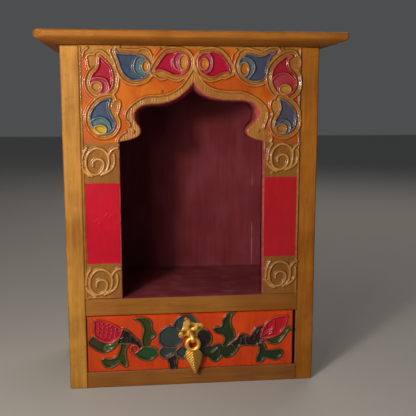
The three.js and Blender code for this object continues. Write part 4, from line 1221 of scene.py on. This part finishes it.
def cornice_profile():
    """Reach past the body and height above the underside: a straight slope plus a quarter of an ellipse
    that steepens to upright at the nose, whose top edge is a quarter round."""
    turn = np.linspace(0, np.pi / 2, 22)
    reach = CORNICE_ROOT + (CORNICE_REACH - CORNICE_ROOT) * np.sin(turn)
    rise = CORNICE_RISE * np.sin(turn) + (NOSE_FOOT - CORNICE_RISE) * (1 - np.cos(turn))
    turn = np.linspace(0, np.pi / 2, 8)
    round_reach = CORNICE_REACH - NOSE_RADIUS + NOSE_RADIUS * np.cos(turn)
    round_rise = CORNICE_HEIGHT - NOSE_RADIUS + NOSE_RADIUS * np.sin(turn)
    return np.vstack([np.stack([reach, rise], 1), np.stack([round_reach, round_rise], 1)])


def cornice_loop(reach, height, share):
    """One level of the cornice: a rectangle that stands off the body's front and sides by reach, drawn in
    to a share of its size about its middle."""
    half, ahead = BODY_HALF + reach, FRONT - reach
    side_steps, front_steps, back_steps = CORNICE_STEPS
    corners = [(-half, BACK), (-half, ahead), (half, ahead), (half, BACK), (-half, BACK)]
    runs = zip(corners[:-1], corners[1:], (side_steps, front_steps, side_steps, back_steps))
    loop = np.vstack([np.linspace(start, end, steps, endpoint=False) for start, end, steps in runs])
    centre = np.array([0, (ahead + BACK) / 2])
    return np.column_stack([centre + (loop - centre) * share, np.full(len(loop), height)])


def cornice_tip(points, base):
    """How far each point is from the nose's left front corner."""
    return np.linalg.norm(points - (-BODY_HALF - CORNICE_REACH, FRONT - CORNICE_REACH, base + 9), axis=1)


def cornice_wear(points, base):
    """How each point of the cornice moves: its nose is dented inwards by smooth noise, and its left front
    corner is knocked off."""
    outer = np.maximum(np.abs(points[:, 0]) - BODY_HALF, FRONT - points[:, 1])
    nose = np.clip((points[:, 2] - base - 4) / 3, 0, 1) * np.clip((outer - 18) / 4, 0, 1)
    dent = nose * np.clip(waves(points, 30, 21) + 0.5 * waves(points, 8, 22) - 0.2, 0, 1) * DENT_DEPTH
    chip = np.clip(1 - cornice_tip(points, base) / CHIP_SIZE, 0, 1) * (1 + 0.5 * waves(points, 4, 23))
    sideways = -np.sign(points[:, 0]) * (outer > 0)
    inward = np.stack([sideways, (points[:, 1] < FRONT) * 1.0, -0.4 * nose], 1)
    return inward * (dent + chip * CHIP_DEPTH * nose)[:, None]


def cornice_paint(centres, normals):
    """The cornice: ochre outside, maroon where it roofs the niche."""
    roof = (np.abs(centres[:, 0]) < BODY_HALF) & (centres[:, 1] > FRONT) & (normals[:, 2] < -0.9)
    return np.where(roof, 1, 0)


def cornice():
    """The moulded top: the profile carried round three sides with mitred corners, closed below and above
    by loops that shrink to the middle, and worn."""
    base = node_box("cornice_top")[0][2]
    under = [(CORNICE_ROOT, base, share) for share in CORNICE_SHARES[::-1]]
    edge = [(reach, base + rise, 1.0) for reach, rise in cornice_profile()]
    top = [(CORNICE_REACH - NOSE_RADIUS, base + CORNICE_HEIGHT, share) for share in CORNICE_SHARES]
    loops = [cornice_loop(*level) for level in under + edge + top]
    points = np.concatenate(loops)
    points = points + cornice_wear(points, base)
    size = (len(loops), len(loops[0]))
    piece = new_mesh("moulded_cornice", points, quads(*size, around=True), end_caps(0, *size))
    write_values(piece, edge=np.clip(1.6 - cornice_tip(read_points(piece), base) / 7, 0, 1))
    finish_piece(piece, "cabinet", "cornice_top", [ochre_level, maroon], cornice_paint)


def arch_paint(centres, normals):
    """The arch board: ornament in front, the sawn edge's paint in the opening, maroon behind."""
    behind = normals[:, 1] > 0.9
    ahead = centres[:, 1] < FRONT + 0.05
    return np.where(behind, 2, np.where(ahead, 0, 1))


def arch_relief(xz, paints, line):
    """Height of the arch board's front: the piped lines, or else fine upright ridges combed into the band
    round the opening, with some faint brush marks on the left panel, less the opening's rounded edge."""
    comb = 0.5 + 0.5 * np.sin(2 * np.pi * xz[:, 0] / COMB_STEP + 3 * waves(xz, 16, 33))
    combed = COMB_HEIGHT * comb * np.clip(paints["combed"] - 0.6, 0, 1)
    marks = nearest_line(xz, [smooth(mark) for mark in MARKS])
    opening = depth_inside(xz, [arch_outline(ARCH_FRONT, SHELF_TOP - SILL_DROP)])
    rounding = 0.5 * np.clip(1 + opening / 1.2, 0, 1) ** 2
    raised = np.maximum(relief_height(xz, line, 31), combed)
    return raised + MARK_HEIGHT * np.exp(-((marks / MARK_WIDTH) ** 2)) - rounding


def raise_front(piece, front, height):
    """Moves the points of a panel's front face forwards by a height."""
    points = read_points(piece)
    points[:, 1] -= np.where(points[:, 1] < front + 0.01, height, 0)
    write_points(piece, points)


def arch_board():
    """The arch board: a fine panel, cut by the opening, then raised by the gesso lines."""
    low = np.array([-PANEL_HALF, FRONT, SHELF_TOP + 0.3])
    high = np.array([PANEL_HALF, FRONT + ARCH_THICKNESS, BODY_TOP])
    piece = flat_panel("gesso_arch_board", low, high, ARCH_STEP)
    cut(piece, arch_tool())
    xz = read_points(piece)[:, [0, 2]]
    paints, line = arch_ornament_field(xz)
    raise_front(piece, FRONT, arch_relief(xz, paints, line))
    write_values(piece, line=line, **paints)
    finish_piece(piece, "cabinet", "arch_face_board", [arch_ornament, reveal, maroon], arch_paint)


# The drawer.


def drawer_relief(xz, line, low, high):
    """Height of the drawer's front: the piped lines, which stop short of the plate, less the board's
    rounded edge."""
    seat = np.hypot(xz[:, 0] - PLATE_CENTRE[0], xz[:, 1] - PLATE_CENTRE[1])
    beyond_plate = np.clip((seat - PLATE_TIP) / 1.5, 0, 1)
    rim = np.minimum(xz - low[[0, 2]], high[[0, 2]] - xz).min(1)
    rounding = 0.6 * np.clip(1 - rim / 1.3, 0, 1) ** 2
    return relief_height(xz, line, 41) * beyond_plate - rounding


def drawer_paint(centres, normals):
    """The drawer's front: ornament in front and on its edges, bare wood behind."""
    return np.where(normals[:, 1] > 0.9, 1, 0)


def drawer_board():
    """The drawer's front: a fine panel raised by the gesso lines of its flowers."""
    low, high = node_box("drawer_front")
    low[1], high[1] = DRAWER_FACE, DRAWER_FACE + DRAWER_THICKNESS
    piece = flat_panel("gesso_drawer_front", low, high, DRAWER_STEP)
    xz = read_points(piece)[:, [0, 2]]
    paints, outlines = laid_shapes(xz, FLOWER_SHAPES)
    dots = nearest_line(xz, [dot_line(dot) for dot in FLOWER_DOTS])
    veins = nearest_line(xz, [smooth(vein) for vein in VEINS])
    line = np.minimum(np.minimum(outlines, veins + VEIN_THINNER), dots + DOT_THINNER)
    raise_front(piece, DRAWER_FACE, drawer_relief(xz, line, low, high))
    write_values(piece, line=line, dots=DOT_PAINT - dots, **paints)
    finish_piece(piece, "drawer", "drawer_front", [drawer_ornament, bare], drawer_paint)


def drawer_box():
    """The drawer's sides, back and bottom."""
    for seed, node in enumerate(("drawer_side_left", "drawer_side_right", "drawer_back", "drawer_bottom")):
        board_piece(node, [bare], bare_all_over, 0.5, 6.0, 0.2, 50 + seed, "drawer")


# The brass pull.


def torus(centre, axis, radius, bar, wide):
    """A ring: points at radius + bar cos v from the centre and wide sin v along the axis, for turns u and
    v, as a grid of u by v."""
    turns = [np.linspace(0, 2 * np.pi, count, endpoint=False) for count in RING_GRID]
    u, v = np.meshgrid(*turns, indexing="ij")
    reach = radius + bar * np.cos(v)
    flat = [reach * np.cos(u), reach * np.sin(u), wide * np.sin(v)]
    order = {"x": (2, 0, 1), "y": (0, 2, 1)}[axis]
    return centre + np.stack([flat[k] for k in order], -1)


def plate_height(angle, part):
    """Height of the plate's face at an angle and a share of its reach: a dome, with a raised rib down each
    petal and beaten rays between, and a lip that turns down at the rim."""
    swell = np.sin(np.pi * part)
    rib = PLATE_RIB * np.exp(-((np.sin(2 * angle) / 0.5) ** 2)) * swell
    beaten = PLATE_BEATEN * np.sin(angle * PLATE_RAYS) * swell**0.5
    lip = PLATE_LIP * np.clip((part - 0.86) / 0.14, 0, 1) ** 2
    return PLATE_RIM + PLATE_DOME * (1 - part**2) + rib + beaten - lip


def plate():
    """The pressed plate: reach = notch + (tip - notch)(1 - |sin 2a|^1.1) at each angle a, cut off square
    at the blunt tips. Its left petal is bent further round by the square of the cosine, and its flat back
    is a plate's thickness behind."""
    rays, rings = PLATE_GRID
    turn = np.linspace(0, 2 * np.pi, rays, endpoint=False)
    angle, part = np.meshgrid(turn, np.linspace(0, 1, rings))
    reach = PLATE_NOTCH + (PLATE_TIP - PLATE_NOTCH) * (1 - np.abs(np.sin(2 * angle)) ** 1.1)
    from_axis = (angle + np.pi / 4) % (np.pi / 2) - np.pi / 4
    reach = part * np.minimum(reach, PLATE_BLUNT / np.cos(from_axis))
    turned = angle + PLATE_TURN + PETAL_BEND * np.maximum(0, -np.cos(angle)) ** 2
    x = PLATE_CENTRE[0] + reach * np.cos(turned)
    z = PLATE_CENTRE[1] + reach * np.sin(turned)
    back = DRAWER_FACE - PLATE_SEAT
    face = np.stack([x, back - plate_height(angle, part), z], -1)
    rear = np.stack([x, np.full_like(x, back), z], -1)[::-1]
    points = np.concatenate([face, rear]).reshape(-1, 3)
    piece = new_mesh("petal_plate", points, quads(2 * rings, rays, around=True))
    write_values(piece, hollow=0.5 + 0.5 * waves(read_points(piece), 5, 61))
    finish_piece(piece, "drawer", "pull_plate", [brass])


def pin_eye():
    """The eye: a ring of flattened wire about the swing, whose upper half is drawn up and back to the
    middle of the plate by the square of the turn's sine."""
    points = torus(SWING, "x", EYE_RADIUS, WIRE, WIRE_WIDE)
    away = points - SWING
    drawn = (np.maximum(0, away[..., 2]) / np.hypot(away[..., 1], away[..., 2])) ** 2
    aim = (PLATE_CENTRE[0] - SWING[0], EYE_BACK, PLATE_CENTRE[1] - SWING[2] - EYE_RADIUS)
    return points + drawn[..., None] * aim


def pin_leg(side):
    """One of the pin's legs: a round rod along a path that runs back through the board, and turns up or
    down behind it on a quarter circle."""
    behind = DRAWER_FACE + DRAWER_THICKNESS + LEG_BEHIND
    corner = np.linspace(0, np.pi / 2, 8)
    deep = behind - LEG_BEND + LEG_BEND * np.sin(corner)
    path = np.vstack([
        [(SWING[1] + EYE_BACK, side * LEG_APART)],
        np.stack([deep, side * (LEG_APART + LEG_BEND - LEG_BEND * np.cos(corner))], 1),
        [(behind, side * LEG_LENGTH)],
    ])
    along = np.gradient(path, axis=0)
    along /= np.linalg.norm(along, axis=1, keepdims=True)
    turn = np.linspace(0, 2 * np.pi, LEG_SIDES, endpoint=False)
    across = np.broadcast_to(np.cos(turn), (len(path), LEG_SIDES))
    rod = LEG_RADIUS * np.stack([across, -np.sin(turn) * along[:, 1:], np.sin(turn) * along[:, :1]], -1)
    middle = np.stack([np.zeros(len(path)), path[:, 0], path[:, 1]], 1)
    return rod + middle[:, None, :] + (PLATE_CENTRE[0], 0, PLATE_CENTRE[1])


def pin():
    """The split pin: its eye and its two legs."""
    points = [pin_eye().reshape(-1, 3)]
    faces, caps = [quads(*RING_GRID, around=True, looped=True)], []
    for side in (-1, 1):
        rod = pin_leg(side)
        start = sum(len(group) for group in points)
        points.append(rod.reshape(-1, 3))
        faces.append(quads(*rod.shape[:2], start, around=True))
        caps += end_caps(start, *rod.shape[:2])
    piece = new_mesh("split_pin", np.concatenate(points), np.concatenate(faces), caps)
    write_values(piece, hollow=np.full(len(piece.data.vertices), 0.1))
    finish_piece(piece, "drawer", "pull_pin", [brass])


def leaf_veins(points):
    """How far each point of the leaf's face stands up between two veins, 0 to 1: the squared sine of its
    height plus 0.9 times its distance from the spine, over the step between veins."""
    down = np.clip((LEAF_TOP - points[..., 2]) / (LEAF_TOP - LEAF_TIP), 0, 1)
    spine = SWING[0] + LEAF_LEAN * down**1.5
    slant = points[..., 2] + 0.9 * np.abs(points[..., 0] - spine)
    return np.sin(np.pi * slant / VEIN_STEP) ** 2


def leaf_skin():
    """The leaf: rows down its length, each a closed loop over its face and back. Its half-width is a
    smooth curve down its length; its face is a lens crossed by slanting veins, its back a plainer lens."""
    s, t = np.meshgrid(np.linspace(0, 1, LEAF_GRID[0]), np.linspace(-1, 1, LEAF_GRID[1]), indexing="ij")
    z = LEAF_TOP - (LEAF_TOP - LEAF_TIP) * s
    left, right = (np.interp(s, LEAF_PLACES, widths) for widths in LEAF_WIDTHS)
    x = SWING[0] + LEAF_LEAN * s**1.5 + np.where(t < 0, left * t, right * t)
    taper = np.sin(np.pi * np.clip(0.12 + 0.86 * s, 0, 1)) ** 0.5
    lens = LEAF_SWELL * np.sqrt(np.clip(1 - t**2, 0, 1)) * taper
    face = np.stack([x, SWING[1] - LEAF_EDGE - 0.75 * lens, z], -1)
    face[..., 1] -= VEIN_HEIGHT * leaf_veins(face) * np.clip(1 - t**4, 0, 1)
    rear = np.stack([x, SWING[1] + LEAF_EDGE + 0.6 * lens, z], -1)
    return np.concatenate([face, rear[:, ::-1]], 1)


def leaf_drop():
    """The pull: a ring and a pointed leaf below it, cast as one."""
    ring_points = torus(RING_CENTRE, "y", RING_RADIUS, RING_BAR, RING_BAR).reshape(-1, 3)
    skin = leaf_skin()
    size, start = skin.shape[:2], len(ring_points)
    faces = np.vstack([quads(*RING_GRID, around=True, looped=True), quads(*size, start, around=True)])
    points = np.concatenate([ring_points, skin.reshape(-1, 3)])
    piece = new_mesh("leaf_drop", points, faces, end_caps(start, *size))
    merged = read_points(piece)
    veined = (merged[:, 2] < LEAF_TOP - 1) & (merged[:, 1] < SWING[1])
    write_values(piece, hollow=np.where(veined, 1.3 - 1.3 * leaf_veins(merged), 0.2))
    finish_piece(piece, "pull", "pull_drop", [brass])


cabinet_boards()
cornice()
arch_board()
drawer_board()
drawer_box()
plate()
pin()
leaf_drop()


# The stage, the lights and the camera.


def floor():
    """A pale, matt floor under the altar."""
    bpy.ops.mesh.primitive_plane_add(size=FLOOR_SIZE)
    plane = bpy.context.object
    plane.name = "pale_floor"
    material, tree = new_material("matt_paper_floor")
    surface(tree, coats(tree, linear(PAPER), (PAPER_SHADE, speckle(tree, 300))), 0.8)
    plane.data.materials.append(material)


def soft_light(name, place, target, size, power, colour):
    """A square area light that faces a target."""
    light = bpy.data.lights.new(name, "AREA")
    light.size = size
    light.energy = power
    light.color = linear(colour)[:3]
    lamp = bpy.data.objects.new(name, light)
    bpy.context.collection.objects.link(lamp)
    lamp.location = place
    aim = np.array(target) - np.array(place)
    tilt = math.acos(-aim[2] / np.linalg.norm(aim))
    lamp.rotation_euler = (tilt, 0, math.atan2(aim[1], aim[0]) - math.pi / 2)


def studio_air():
    """A faint, even light from all round."""
    world = bpy.data.worlds.new("studio")
    world.use_nodes = True
    air = world.node_tree.nodes["Background"]
    air.inputs["Color"].default_value = linear(AIR_LIGHT)
    air.inputs["Strength"].default_value = AIR_STRENGTH
    bpy.context.scene.world = world


def front_camera():
    """A camera that sees the altar's front a little from the left and from above."""
    camera = bpy.data.cameras.new("camera")
    camera.sensor_width = SENSOR
    camera.lens = LENS
    viewer = bpy.data.objects.new("camera", camera)
    bpy.context.collection.objects.link(viewer)
    viewer.location = CAMERA_PLACE
    viewer.rotation_euler = (math.pi / 2 - CAMERA_DIP, 0, -CAMERA_TURN)
    bpy.context.scene.camera = viewer


floor()
for light_values in LIGHTS:
    soft_light(*light_values)
studio_air()
front_camera()
bpy.context.scene.view_settings.view_transform = "Standard"
